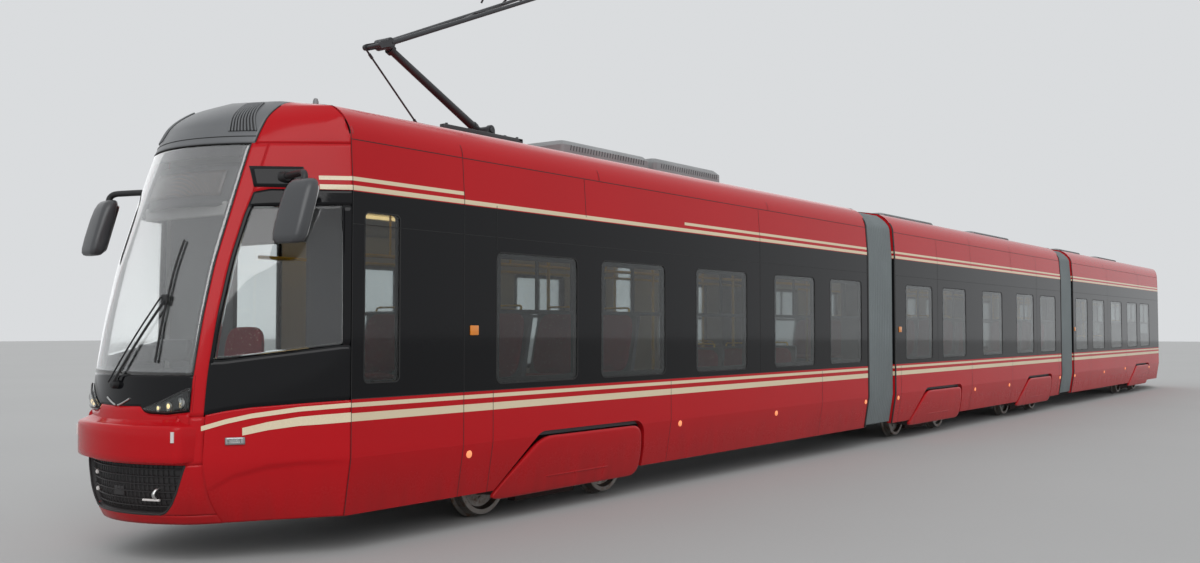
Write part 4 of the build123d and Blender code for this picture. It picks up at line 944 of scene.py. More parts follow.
def cover_pod(bogie_x, side):
    """A pod over a bogie: its rounded outline, swelling outwards as the outline shrinks."""
    loops = []
    for inset, depth in POD_STEPS:
        shape = (POD - POD_MIDDLE) * (1 - inset, 1 - inset / 0.24) + (bogie_x + POD_MIDDLE[0], POD_MIDDLE[1])
        y = HALF - SKIRT_LEAN * (CREASE - shape[:, 1]) + depth
        loops.append(spots(shape[:, 0], side * y, shape[:, 1]))
    line = np.linspace(-0.42, 0.52, 24)
    lift = 0.010 * np.clip(np.minimum(line + 0.42, 0.52 - line) / 0.06, 0, 1)
    y = HALF - SKIRT_LEAN * (CREASE - 0.335) + 0.010 + 0.4 * lift
    return join([capped(loops, flip=side < 0), tube(spots(bogie_x + line, side * y, 0.335), 0.008, 8)])


for car, bogies in BOGIES.items():
    pods = [cover_pod(x, side) for x in bogies for side in SIDES]
    piece(f"{car}_bogie_pods", pods, red, body=f"{car}_car", smooth=35, replaces=[f"{car}_bogie_covers"])


# Gangway bellows: closed pleated sleeves


def bellows_loop(x, inset, low=0.305):
    """The sleeve's ring at x: the body's section, inset, closed under the floor."""
    y, z = section_path(low, CROWN, -inset, 1)
    turn = np.linspace(0, np.pi, 5)[1:-1]
    ring_y = np.concatenate([y, [0.0], -y[::-1], -0.6 * np.cos(turn) * y[0]])
    ring_z = np.concatenate([z, [CROWN - inset], z[::-1], np.full(3, low + inset)])
    return spots(x, ring_y, ring_z)


FOLDS, FOLD_STEPS, CLOTH = 15, 4, 0.10  # CLOTH is the distance from the outer to the inner face
BELLOWS = (("front", -PIVOT, ("front_car", "middle_car")), ("rear", PIVOT, ("middle_car", "rear_car")))
for name, pivot, cars in BELLOWS:
    x = np.linspace(pivot - GANGWAY / 2 + 0.002, pivot + GANGWAY / 2 - 0.002, FOLDS * FOLD_STEPS + 1)
    depth = 0.026 + np.choose(np.arange(len(x)) % FOLD_STEPS, [0.016, 0.002, 0.0, 0.002])
    rings = [bellows_loop(place, inset) for place, inset in zip(x, depth)]
    rings += [bellows_loop(place, inset + CLOTH) for place, inset in zip(x[::-1], depth[::-1])]
    cloth = [grid(rings, around=True, closed=True)]
    thing = piece(f"{name}_bellows_cloth", cloth, bellows_grey, body=None, smooth=50,
                  replaces=[f"{name}_bellows"])
    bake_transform(thing)
    for car, x0, x1 in ((cars[0], pivot - 0.505, pivot - 0.460), (cars[1], pivot + 0.460, pivot + 0.505)):
        edges = join([hoop(x0, x1, SKIRT_LOW, CROWN, 0.004, side) for side in SIDES])
        piece(f"{name}_bellows_frame_{car}", [edges], seal, body=car, wall=0.006)


# The front: mask, lamps, bumper, grille, screen border, display, cap ribs

mask = nose_band(-0.612, 0.612, mask_low, SCREEN_LOW, 14, 80)
piece("nose_mask", [mask], [gloss_black, black_plastic], smooth=50, replaces=["front_mask"], wall=0.02)

LAMP_TOP = curve((0.285, 1.085), (0.40, 1.130), (0.50, 1.180), (0.598, 1.232))
LAMP_LOW = curve((0.285, 1.078), (0.34, 1.066), (0.46, 1.062), (0.598, 1.080))
LAMP_IN, LAMP_OUT = 0.285, 0.598
covers, rims, bezels, lenses, glows, chevron = [], [], [], [], [], []
out, back = np.linspace(LAMP_IN, LAMP_OUT, 20), np.linspace(LAMP_OUT, LAMP_IN, 20)[1:-1]
rim_y, rim_z = np.concatenate([out, back]), np.concatenate([LAMP_TOP(out), LAMP_LOW(back)])
rise = np.linspace(0, 1, 20)
for side in SIDES:
    left, right = sorted((side * LAMP_IN, side * LAMP_OUT))
    low, high = (lambda y: LAMP_LOW(np.abs(y))), (lambda y: LAMP_TOP(np.abs(y)))
    covers.append(nose_band(left, right, low, high, 8, 24, 0.020))
    rims.append(tube(on_nose(side * rim_y, rim_z, 0.014), 0.006, 6, closed=True))
    for y, z, radius in ((0.548, 1.128, 0.036), (0.468, 1.104, 0.030), (0.395, 1.090, 0.022)):
        centre = on_nose(side * y, z, 0.004)
        rings = [(radius * 0.78, -0.004), (radius * 0.86, 0.003), (radius, 0.002), (radius, -0.006)]
        bezels.append(lathe(rings, centre, "x", 20))
        rings = [(radius * 0.78, 0.003), (radius * 0.70, -0.004), (radius * 0.45, -0.009),
                 (radius * 0.08, -0.011)]
        (glows if radius < 0.035 else lenses).append(lathe(rings, centre, "x", 20))
    chevron.append(follow(side * (0.012 + 0.125 * rise), 1.100 + 0.050 * rise**1.3, 0.004, 0.0065))
piece("headlamp_covers", covers, clear_glass, "lamp_clear", replaces=["headlamps"], wall=0.003)
piece("headlamp_rims", rims, black_plastic)
piece("headlamp_bezels", bezels, bright_steel, "lamp_clear")
piece("headlamp_lenses", lenses, lamp_clear)
piece("headlamp_warm_lenses", glows, lamp_warm)
piece("mask_chevron", chevron, bright_steel)


def bumper_plan():
    """The bumper seen from above: a shallow parabola, a round corner, and a short side."""
    y = np.linspace(0, 0.575, 22)
    front = spots(0.126 * (y / 0.575) ** 2, y)
    share = np.linspace(0, 1, 9)[1:, None]
    bend = rounded(front[-1], np.array([0.143, 0.608]), np.array([0.190, 0.622]), share)
    side = spots(np.linspace(0.190, 0.34, 5)[1:], np.linspace(0.622, 0.640, 5)[1:])
    half = np.concatenate([front, bend, side])
    return np.concatenate([half[::-1] * (1, -1), half[1:]])


plan = bumper_plan()
along = np.gradient(plan, axis=0)
inward = spots(along[:, 1], -along[:, 0])
inward /= np.linalg.norm(inward, axis=1)[:, None]
BUMPER = [
    # inset and height of each line of the bumper, from below the lip to behind the shelf
    (0.110, 0.714), (0.030, 0.716), (0.010, 0.720), (0.003, 0.730), (0.001, 0.766), (0.000, 0.880),
    (0.001, 0.946), (0.005, 0.962), (0.014, 0.971), (0.030, 0.976), (0.060, 0.990), (0.088, 1.012),
    (0.110, 1.040),
]
lines = [(plan + inward * inset, z) for inset, z in BUMPER]
sheet = [spots(NOSE + line[:, 0], line[:, 1], z) for line, z in lines]
piece("bumper_moulding", [grid(sheet, flip=True)], red, replaces=["front_bumper"], wall=0.014)
upright = np.linspace(0.862, 0.936, 8)
reflectors = [tube(spots(NOSE + 0.131, side * 0.582, upright), 0.013, 10) for side in SIDES]
piece("bumper_reflectors", reflectors, reflector_white)

GRILLE_WIDTH, GRILLE_FLOOR = 0.36, 0.352
recess = nose_sheet(lambda z: -GRILLE_HALF(z) - 0.006, lambda z: GRILLE_HALF(z) + 0.006, 0.340, 0.700, 20, 60,
                    -0.045)
bars = []
for z in np.linspace(0.395, 0.665, 6):
    half = float(GRILLE_HALF(z)) - 0.012
    bars.append(follow(np.linspace(-half, half, 40), z, -0.034, 0.0050, 6))
for y in np.linspace(-0.50, 0.50, 26):
    low = 0.372 + 0.35 * max(0, abs(y) - GRILLE_WIDTH)
    bars.append(follow(y, np.linspace(low, 0.692, 8), -0.038, 0.0032, 5))
z = np.linspace(BUMPER_LOW, GRILLE_FLOOR, 22)
floor_y = np.linspace(-GRILLE_WIDTH, GRILLE_WIDTH, 24)[1:-1]
edge_y = np.concatenate([-GRILLE_HALF(z), floor_y, GRILLE_HALF(z[::-1])])
edge_z = np.concatenate([z, np.full(22, GRILLE_FLOOR), z[::-1]])
bars.append(follow(edge_y, edge_z, -0.004, 0.008, 8))
reveal = [on_nose(edge_y * grow, edge_z, lift)
          for grow, lift in ((0.992, 0.0), (0.986, -0.046), (0.95, -0.046))]
piece("grille_recess", [recess, grid(reveal, flip=True)], black_plastic, smooth=50, replaces=["grille"],
      wall=0.01)
piece("grille_bars", bars, black_plastic)
HOOK = ((0.30, 0.530), (0.165, 0.530), (0.135, 0.490), (0.160, 0.465))
hook = bent([(NOSE + t, -0.36, z) for t, z in HOOK], 0.03)
piece("towing_eye", [tube(hook, 0.013, 10)], bright_steel)
step_bar = [follow(np.linspace(-0.395, -0.265, 14), 0.450, -0.012, 0.0085, 10)]
for y, z in ((0.36, 0.60), (0.40, 0.47)):
    rings = [(0.016, 0.02), (0.018, 0.0), (0.014, -0.008), (0.004, -0.010)]
    step_bar.append(lathe(rings, on_nose(y, z, -0.030), "x", 16))
piece("grille_lamps", step_bar, reflector_white)
pin = lathe([(0.030, -0.012), (0.034, -0.006), (0.034, 0.006), (0.030, 0.012)], (NOSE + 0.150, 0.0, 0.50),
            "x", 20)
tow_plate = round_block(NOSE + 0.105, NOSE + 0.16, -0.060, 0.060, 0.465, 0.535, 0.008)
piece("coupling_flap", [tow_plate, pin], black_plastic)

FRIT = SCREEN_HALF - 0.034
frit = [nose_sheet(*edges, -0.012) for edges in (
    (-SCREEN_HALF, -FRIT, SCREEN_LOW, SCREEN_HIGH, 60, 4),
    (FRIT, SCREEN_HALF, SCREEN_LOW, SCREEN_HIGH, 60, 4),
    (-SCREEN_HALF + 0.03, SCREEN_HALF - 0.03, SCREEN_LOW, SCREEN_LOW + 0.05, 4, 50),
    (-SCREEN_HALF + 0.03, SCREEN_HALF - 0.03, 2.885, SCREEN_HIGH, 6, 50),
)]
piece("screen_border", frit, gloss_black, smooth=50, wall=0.002)
upright = np.linspace(SCREEN_LOW, SCREEN_HIGH, 60)
rubber = [follow(side * SCREEN_HALF, upright, -0.001, 0.0045, 6) for side in SIDES]
rubber.append(follow(np.linspace(-SCREEN_HALF, SCREEN_HALF, 50), SCREEN_HIGH, -0.001, 0.0045, 6))
piece("screen_seal", rubber, seal)
piece("display_housing", [nose_sheet(-0.56, 0.56, 2.56, 2.88, 10, 30, -0.085)], black_plastic, wall=0.03)
piece("display_face", [nose_sheet(-0.47, 0.47, 2.625, 2.820, 8, 30, -0.068)], display, wall=0.008)

ribs, beds = [], []
rise = np.linspace(0, 1, 14)
z = 3.085 + 0.245 * rise


def rib_y(share, rise):
    """A rib's place across the cap: ribs lean together as they rise."""
    return mixed(0.415 + 0.180 * share, 0.330 + 0.135 * share, rise)


for side in SIDES:
    ribs += [follow(side * rib_y(share, rise), z, 0.006, 0.0065, 6) for share in np.linspace(0.0, 1.0, 9)]
    y = side * rib_y(np.linspace(-0.04, 1.04, 12)[None, :], rise[:, None])
    beds.append(grid(on_nose(y, z[:, None], 0.0025), flip=side > 0))
piece("cap_rib_beds", beds, black_plastic, "charcoal_paint", smooth=50, wall=0.004)
piece("cap_ribs", ribs, charcoal, smooth=50)
cap_line = [follow(side * CAP_HALF, np.linspace(3.0, 3.30, 30), 0.0, 0.005, 6) for side in SIDES]
cap_line.append(follow(np.linspace(-0.61, 0.61, 40), 3.045, 0.0, 0.004, 6))
piece("cap_seams", cap_line, seal)


# Wiper: two thin parallel arms from a boss to a bracket, and a bowed blade

rings = [(0.030, 0.02), (0.032, -0.02), (0.026, -0.044), (0.010, -0.050)]
wiper_parts = [lathe(rings, on_nose(0.03, 1.245, 0.0), "x", 20)]
share = np.linspace(0, 1, 16)[:, None]
for offset, radius in ((0.0, 0.009), (0.055, 0.006)):
    start = on_nose(0.03 + offset, 1.245 + 0.2 * offset, 0.036)
    stop = on_nose(-0.335 + 0.6 * offset, 1.83 + 0.5 * offset, 0.032)
    wiper_parts.append(tube(mixed(start, stop, share) + (-0.012, 0, 0) * np.sin(np.pi * share), radius, 8))
blade_z = np.linspace(1.40, 2.265, 40)
blade_y = -0.335 - 0.03 * ((blade_z - 1.40) / 0.87) ** 2
wiper_parts.append(follow(blade_y, blade_z, 0.022, 0.0055))
lip = [on_nose(blade_y + shift, blade_z, lift)
       for shift, lift in ((-0.004, 0.018), (-0.001, 0.004), (0.001, 0.004), (0.004, 0.018))]
wiper_parts.append(grid(np.stack(lip, axis=1), around=True))
x, y, z = on_nose(-0.335, 1.84, 0.026)
wiper_parts.append(round_block(x - 0.010, x + 0.006, y - 0.022, y + 0.040, z - 0.035, z + 0.035, 0.006))
piece("screen_wiper", wiper_parts, black_plastic, replaces=["wiper"])


# Mirrors: a bent arm and a housing whose outline narrows and rounds towards its top

MIRROR_T, MIRROR_Y, MIRROR_LOW = 0.655, 1.205, 2.225
MIRROR_LEAN, MIRROR_TURN = 0.30, 0.16
MIRROR_TABLE = [
    # height, half length, half width, corner radius, shift forward
    (0.000, 0.030, 0.080, 0.028, 0.000), (0.006, 0.052, 0.104, 0.040, 0.000),
    (0.025, 0.068, 0.122, 0.045, 0.001), (0.060, 0.076, 0.130, 0.050, 0.002),
    (0.150, 0.079, 0.134, 0.050, 0.003), (0.300, 0.079, 0.134, 0.055, 0.003),
    (0.380, 0.076, 0.130, 0.060, 0.001), (0.425, 0.068, 0.120, 0.062, -0.002),
    (0.448, 0.054, 0.102, 0.050, -0.006), (0.458, 0.034, 0.078, 0.032, -0.010),
    (0.460, 0.010, 0.050, 0.009, -0.012),
]


def mirror_place(flat, side, height):
    """Plan points turned so that the mirror looks towards the driver, set on its leaning line."""
    turn = -side * MIRROR_TURN
    x = flat[:, 0] * math.cos(turn) - flat[:, 1] * math.sin(turn)
    y = flat[:, 0] * math.sin(turn) + flat[:, 1] * math.cos(turn)
    x = NOSE + MIRROR_T + x + MIRROR_LEAN * (height - 0.23)
    return spots(x, side * MIRROR_Y + y, MIRROR_LOW + height)


def mirror_housing(side):
    """Rings up the housing: a rounded rectangle whose size follows a table of levels."""
    loops = []
    for height, half_x, half_y, radius, shift in MIRROR_TABLE:
        flat = outline(half_x, half_y, radius, 5) * (0.82, 0.95)
        loops.append(mirror_place(flat, side, height) - (shift, 0, 0))
    return capped(loops)


def mirror_arm(side):
    """A bar from the cab's side to the housing along a route with rounded corners, and a cone
    round its root."""
    foot = np.array([NOSE + 0.86, side * float(flank_y(0.86, 2.735)), 2.735])
    out = foot + (-0.03, side * 0.13, 0.005)
    root = foot - (0, side * 0.02, 0)
    bend, tip = (NOSE + 0.735, side * 1.20, 2.735), (NOSE + 0.715, side * MIRROR_Y, 2.62)
    route = bent([root, out, bend, tip], 0.08, 8)
    return join([tube(route, 0.025, 12), tube([root, foot + 0.35 * (out - foot)], [0.044, 0.034], 14)])


def mirror_glass(side):
    """A pane set in a rim on the housing's rear side, which faces the driver."""
    flat = round_polygon([(-0.100, 0.03), (0.100, 0.03), (0.100, 0.42), (-0.100, 0.42)], 0.045)
    place = mirror_place(spots(0.0665, flat[:, 0]), side, flat[:, 1])
    return capped([place - (0.012, 0, 0), place])


piece("mirror_housings", [mirror_housing(side) for side in SIDES], mirror_grey, replaces=["mirrors"])
piece("mirror_arms", [mirror_arm(side) for side in SIDES], black_plastic)
piece("mirror_glasses", [mirror_glass(side) for side in SIDES], bright_steel, "lamp_clear")


# Seats: hard shells with crowned cushions


def pillow(centre, half, lean=0.0, facing=1, corner=0.42, crown=0.22, rings=9, sides=28):
    """A stuffed form: a superellipse in plan, c(w) = sign(cos w) |cos w|^corner, drawn in towards
    its seam by |cos v|^0.3 and crowned by sin v, with a shallow welt across it, leaned about Y."""
    v = np.linspace(-1.45, 1.45, rings)[:, None]
    u = np.linspace(0, 2 * np.pi, sides, endpoint=False)[None, :]
    pull = np.abs(np.cos(v)) ** 0.30
    x, y = (np.sign(wave) * np.abs(wave) ** corner * pull for wave in (np.cos(u), np.sin(u)))
    z = np.sin(v) * (1 + crown * (1 - x**2) * (1 - y**2))
    z = z - 0.10 * np.exp(-((x / 0.10) ** 2)) * np.maximum(np.sin(v), 0)
    x, y, z = x * half[0], y * half[1], z * half[2]
    turned_x = x * math.cos(lean) + z * math.sin(lean)
    turned_z = -x * math.sin(lean) + z * math.cos(lean)
    return capped(spots(centre[0] + facing * turned_x, centre[1] + y, centre[2] + turned_z), flip=facing < 0)


# A seat's side outline, from the top of its back round under the pan
SHELL = round_polygon([(-0.285, 1.050), (-0.325, 1.045), (-0.345, 0.99), (-0.215, 0.385), (-0.165, 0.345),
                       (0.150, 0.345), (0.205, 0.385), (0.200, 0.410), (0.150, 0.395), (-0.120, 0.395),
                       (-0.160, 0.425), (-0.300, 0.990)], 0.03, 4)
SEAT_WALL, SEAT_WIDTH = 1.042, 0.60


def seat_shape(x0, side, facing, floor):
    """A seat's shell, plinth and grab handle, its cushion and its back."""
    low, high = sorted((side * (SEAT_WALL - SEAT_WIDTH), side * SEAT_WALL))
    middle = (low + high) / 2
    loops = [spots(x0 - facing * SHELL[:, 0], y, floor + SHELL[:, 1]) for y in (low, high)]
    shell = capped(loops, flip=facing > 0)
    plinth = round_block(x0 - 0.13, x0 + 0.17, low + 0.10, high - 0.10, floor, floor + 0.35, 0.02)
    pan = pillow((x0 - facing * 0.015, middle, floor + 0.425), (0.20, SEAT_WIDTH / 2 - 0.025, 0.032),
                 0.03 * facing)
    rest = pillow((x0 + facing * 0.225, middle, floor + 0.735), (0.295, SEAT_WIDTH / 2 - 0.035, 0.030),
                  math.radians(103), facing)
    bar = [(x0 + facing * forward, middle + across, floor + up) for forward, across, up in
           ((0.310, -0.18, 1.035), (0.325, -0.18, 1.085), (0.325, 0.18, 1.085), (0.310, 0.18, 1.035))]
    return join([shell, plinth]), pan, rest, tube(bent(bar, 0.03, 4), 0.011, 6)


PODIUM, LOW_FLOOR = 0.76, 0.38
# Seats of an end car: place behind its end, side, floor; then every car's: x, side, facing, floor
END_ROWS = [(t, side, PODIUM) for t in (3.1, 3.95, 4.8) for side in SIDES]
END_ROWS += [(6.5, -1, LOW_FLOOR), (7.4, -1, LOW_FLOOR), (8.3, -1, LOW_FLOOR), (9.0, 1, LOW_FLOOR)]
ROWS = {
    "front": [(NOSE + t, side, 1, floor) for t, side, floor in END_ROWS],
    "rear": [(TAIL - t, side, -1, floor) for t, side, floor in END_ROWS],
    "middle": [(bogie + step, side, 1, PODIUM)
               for bogie in BOGIES["middle"] for step in (-0.85, 0, 0.85) for side in SIDES],
}
DRIVER_X = NOSE + 0.90
for car, rows in ROWS.items():
    made = [seat_shape(*row) for row in rows]
    shells, handles = [seat[0] for seat in made], [seat[3] for seat in made]
    cushions = [seat[part] for seat in made for part in (1, 2)]
    if car == "front":
        post = [(0.15, 0.62), (0.15, 0.64), (0.06, 0.66), (0.06, 0.90)]
        shells += [lathe(post, (DRIVER_X, 0, 0), "z", 20),
                   round_block(DRIVER_X - 0.22, DRIVER_X + 0.22, -0.24, 0.24, 0.895, 0.925, 0.012)]
        cushions += [pillow((DRIVER_X, 0, 0.965), (0.235, 0.245, 0.045)),
                     pillow((DRIVER_X + 0.235, 0, 1.32), (0.335, 0.225, 0.045), math.radians(97))]
    body = f"{car}_car"
    piece(f"{car}_seat_shells", shells, seat_shell, body=body, replaces=[f"{car}_seats"])
    soft = piece(f"{car}_seat_cushions", cushions, seat_cloth, body=body, smooth=60)
    piece(f"{car}_seat_handles", handles, pole_yellow, body=body)


# Inside: poles, rails, ceiling panels with lights, and the driver's instruments

REAR_POLES = [(7.1, LOW_FLOOR), (7.95, LOW_FLOOR), (9.15, LOW_FLOOR), (9.75, LOW_FLOOR), (11.62, PODIUM),
              (13.32, PODIUM)]
HALF_POLES = [(0.72, LOW_FLOOR), (2.25, PODIUM), (3.95, PODIUM)]
POLES = {
    "front": [(-x, floor) for x, floor in REAR_POLES[::-1]],
    "middle": [(-x, floor) for x, floor in HALF_POLES[::-1]] + HALF_POLES,
    "rear": REAR_POLES,
}
POLE_Y, RAIL_Z, HANGER_STEP = 0.47, 2.24, 1.55
CEILING_Y = np.array([-1.085, -1.06, -0.92, -0.60, -0.30, 0.0, 0.30, 0.60, 0.92, 1.06, 1.085])
CEILING_Z = np.array([2.56, 2.64, 2.685, 2.705, 2.75, 2.76, 2.75, 2.705, 2.685, 2.64, 2.56])
for car, (start, stop) in CARS.items():
    poles, body = [], f"{car}_car"
    for x, floor in POLES[car]:
        foot = [(0.034, floor - 0.005), (0.034, floor + 0.012), (0.02, floor + 0.03)]
        for y in (-POLE_Y, POLE_Y):
            poles.append(tube([(x, y, floor - 0.01), (x, y, 2.70)], 0.017, 8))
            poles.append(lathe(foot, (x, y, 0), "z", 12))
    ends = (start + (0.45 if car == "front" else 0.25), stop - (0.45 if car == "rear" else 0.25))
    for y in (-POLE_Y, POLE_Y):
        poles.append(tube([(x, y, RAIL_Z) for x in ends], 0.016, 8))
        for x in np.arange(ends[0] + 0.6, ends[1] - 0.4, HANGER_STEP):
            poles.append(tube([(x, y, RAIL_Z), (x, y, 2.69)], 0.010, 6))
    piece(f"{car}_grab_poles", poles, pole_yellow, body=body)
    sheet = [spots(x, CEILING_Y, CEILING_Z) for x in np.linspace(*ends, 12)]
    piece(f"{car}_ceiling", [grid(sheet)], inner_grey, body=body, wall=0.008)
    lights = [round_block(*ends, side * 0.55, side * 0.69, 2.685, 2.700, 0.006) for side in SIDES]
    piece(f"{car}_ceiling_lights", lights, lamp_warm, body=body)
dash = [round_block(NOSE + 0.50, NOSE + 0.56, -0.20, 0.16, 1.40, 1.56, 0.02),
        round_block(NOSE + 0.52, NOSE + 0.57, 0.22, 0.46, 1.38, 1.52, 0.02)]
lever = [(0.028, 1.30), (0.028, 1.33), (0.010, 1.335), (0.010, 1.40), (0.020, 1.42), (0.012, 1.44)]
dash += [lathe(lever, (NOSE + 0.58, y, 0), "z", 14) for y in (-0.34, -0.26)]
piece("driver_instruments", dash, black_plastic)
piece("sun_blind", [round_block(NOSE + 0.60, NOSE + 0.63, -0.50, 0.50, 2.46, 2.56, 0.012)], inner_grey)


# Roof equipment: tapering housings with lids, side louvres, ribs and fans

ROOF_BOXES = {
    # ends, half width and top of each housing
    "front": [(-11.60, -10.05, 0.640, 3.500), (-9.95, -8.52, 0.640, 3.515)],
    "middle": [(-3.30, -1.00, 0.500, 3.450), (1.00, 3.30, 0.500, 3.450)],
    "rear": [(6.90, 8.90, 0.500, 3.450), (10.50, 12.70, 0.500, 3.450)],
}


def roof_box(x0, x1, half, top):
    """Outlines from the crown up: a straight skirt, a slanted shoulder and a softly crowned lid."""
    rise = top - CROWN
    table = [(0.0, 3.30), (0.0, CROWN + 0.55 * rise), (0.006, CROWN + 0.62 * rise),
             (0.35 * rise, CROWN + 0.93 * rise), (0.42 * rise, CROWN + 0.985 * rise),
             (0.55 * rise, top - 0.004), (0.75 * rise, top - 0.004)]
    loops = []
    for inset, z in table:
        flat = outline((x1 - x0) / 2 - inset, half - inset, 0.05, 4)
        loops.append(spots(flat[:, 0] + (x0 + x1) / 2, flat[:, 1], z))
    return capped(loops)


SLAT_STEP = 0.048
turn = np.linspace(0, 2 * np.pi, 24, endpoint=False)
for car, boxes in ROOF_BOXES.items():
    shells, trims, fans = [], [], []
    for x0, x1, half, top in boxes:
        shells.append(roof_box(x0, x1, half, top))
        z, lid = CROWN + 0.30 * (top - CROWN), top - 0.004
        for y in (-half - 0.001, half + 0.001):
            for x in np.arange(x0 + 0.12, x1 - 0.10, SLAT_STEP):
                trims.append(tube([(x, y, z - 0.022), (x + 0.012, y, z + 0.028)], 0.0045, 5))
        inner = half - 0.11
        for x in np.linspace(x0 + 0.10, x1 - 0.10, 4):
            trims.append(tube([(x, -inner, lid), (x, inner, lid)], 0.005, 5))
        for x in (x0 + 0.27 * (x1 - x0), x0 + 0.73 * (x1 - x0)):
            for radius in np.linspace(0.06, 0.24, 5):
                ring = spots(x + radius * np.cos(turn), radius * np.sin(turn), lid)
                fans.append(tube(ring, 0.0045, 5, closed=True))
            fans.append(lathe([(0.045, -0.008), (0.045, 0.0), (0.02, 0.003)], (x, 0, top - 0.003), "z", 16))
    body = f"{car}_car"
    piece(f"{car}_roof_housings", shells, roof_grey, body=body, smooth=35, replaces=[f"{car}_roof_units"])
    piece(f"{car}_roof_louvres", trims, dark_metal, "roof_grey", body=body)
    piece(f"{car}_roof_fans", fans, black_plastic, body=body)
post = [(0.030, 3.34), (0.034, 3.39), (0.026, 3.41), (0.024, 3.51), (0.016, 3.535), (0.006, 3.54)]
piece("roof_antenna", [lathe(post, (NOSE + 1.76, -0.10, 0), "z", 18)], roof_grey)


# Pantograph: base on ribbed insulators, two arms, coupling rod and collector head

# PBX and PBZ are the lower arm's pivot; KNEE, HEAD, ROD and HEEL the other pivots, in X and Z
PBX, PBZ = NOSE + 3.88, 3.56
LOWER_LENGTH, LOWER_ANGLE, UPPER_LENGTH, UPPER_ANGLE = 1.4, math.radians(26), 2.55, math.radians(23.5)
KNEE = np.array([PBX - LOWER_LENGTH * math.cos(LOWER_ANGLE), PBZ + LOWER_LENGTH * math.sin(LOWER_ANGLE)])
HEAD = KNEE + UPPER_LENGTH * np.array([math.cos(UPPER_ANGLE), math.sin(UPPER_ANGLE)])
ROD = np.array([PBX - 0.68, PBZ - 0.06])
HEEL = KNEE + (-0.125, -0.040)


def crossbar(x, z, y0, y1, radius, sides=20, ends=0.004):
    """A turned bar along Y with small end chamfers."""
    low, high = sorted((y0, y1))
    rings = [(radius - ends, low), (radius, low + ends), (radius, high - ends), (radius - ends, high)]
    return lathe(rings, (x, 0, z), "y", sides)


def link(a, b, y0, y1, radius, steps=8):
    """A flat link with round ends: the outline of two half circles, carried across Y."""
    a, b = np.asarray(a), np.asarray(b)
    heading = math.atan2(b[1] - a[1], b[0] - a[0])
    turn = np.linspace(np.pi / 2, 3 * np.pi / 2, steps) + heading
    circle = radius * spots(np.cos(turn), np.sin(turn))
    flat = np.concatenate([a + circle, b - circle])
    return capped([spots(flat[:, 0], y, flat[:, 1]) for y in sorted((y0, y1))], flip=True)


def along_y(line, y):
    """Points in X and Z set at one place, or at one place each, across the tram."""
    line = np.asarray(line)
    return spots(line[:, 0], y, line[:, 1])


base_parts, sheds, springs = [], [], []
for side in SIDES:
    base_parts.append(round_block(ROD[0] - 0.12, PBX + 0.32, side * 0.24, side * 0.30, 3.452, 3.500, 0.008))
    base_parts.append(link((PBX, 3.49), (PBX, PBZ), side * 0.132, side * 0.168, 0.050))
    base_parts.append(crossbar(PBX, PBZ, side * 0.168, side * 0.184, 0.030))
    for x in (ROD[0] - 0.06, PBX + 0.26):
        rings = [(0.030, 3.352), (0.034, 3.360)]
        for z in 3.366 + 0.021 * np.arange(4):
            rings += [(0.024, z), (0.037, z + 0.006), (0.037, z + 0.009), (0.024, z + 0.016)]
        sheds.append(lathe(rings + [(0.026, 3.452)], (x, side * 0.27, 0), "z", 20))
        nut = [(0.014, 3.500), (0.014, 3.514), (0.008, 3.516)]
        base_parts.append(lathe(nut, (x, side * 0.27, 0), "z", 6))
for x, z0, z1 in ((PBX, 3.452, 3.500), (ROD[0], 3.432, 3.464)):
    base_parts.append(round_block(x - 0.045, x + 0.045, -0.298, 0.298, z0, z1, 0.008))
base_parts.append(link((ROD[0], ROD[1] - 0.04), ROD, 0.086, 0.104, 0.026))
base_parts.append(crossbar(*ROD, 0.095, 0.129, 0.0095))
SPRING_TURNS = 16
turn = np.linspace(0, 2 * np.pi * SPRING_TURNS, SPRING_TURNS * 12)
SPRING_SEATS = [
    # place along and across, and height, of the blocks that hold a spring
    (0.27, 0.30, 0.045, 0.105, 3.495, 3.555), (0.26, 0.31, 0.05, 0.30, 3.470, 3.500),
    (-0.02, 0.03, 0.05, 0.10, 3.498, 3.545),
]
for side in SIDES:
    coil = spots(np.linspace(PBX + 0.02, PBX + 0.28, len(turn)), side * 0.075 + 0.024 * np.cos(turn),
                 3.525 + 0.024 * np.sin(turn))
    springs.append(tube(coil, 0.0045, 5))
    for x0, x1, y0, y1, z0, z1 in SPRING_SEATS:
        base_parts.append(round_block(PBX + x0, PBX + x1, side * y0, side * y1, z0, z1, 0.006))
lead = bent([(PBX + 0.30, -0.20, 3.49), (PBX + 0.50, -0.20, 3.46), (PBX + 0.55, -0.20, 3.38)], 0.06)
base_parts.append(tube(lead, 0.014, 8))
piece("pantograph_frame", base_parts, dark_metal, replaces=["pantograph_base"])
piece("pantograph_insulators", sheds, insulator)
piece("pantograph_springs", springs, bright_steel, "pantograph_metal")

ARM_STEPS = np.linspace(0, 1, 9)[:, None]
line = along_y([(PBX, PBZ), KNEE], 0)
lower_parts = [
    tube(mixed(line[0], line[1], ARM_STEPS), 0.042 - 0.008 * ARM_STEPS[:, 0], 20),
    crossbar(PBX, PBZ, -0.128, 0.128, 0.040, 24), crossbar(*KNEE, -0.059, 0.059, 0.050, 24),
    *[link((PBX, PBZ), (PBX + 0.055, PBZ - 0.02), *ys, 0.030) for ys in ((-0.060, -0.046), (0.046, 0.060))],
]
step = (line[1] - line[0]) / LOWER_LENGTH * 0.02
for centre in (mixed(line[0], line[1], 0.06), mixed(line[0], line[1], 0.94)):
    lower_parts.append(tube([centre - step, centre + step], 0.049, 20))
piece("pantograph_lower_tube", lower_parts, dark_metal, body="lower_arm", replaces=["pantograph_lower_arm"])

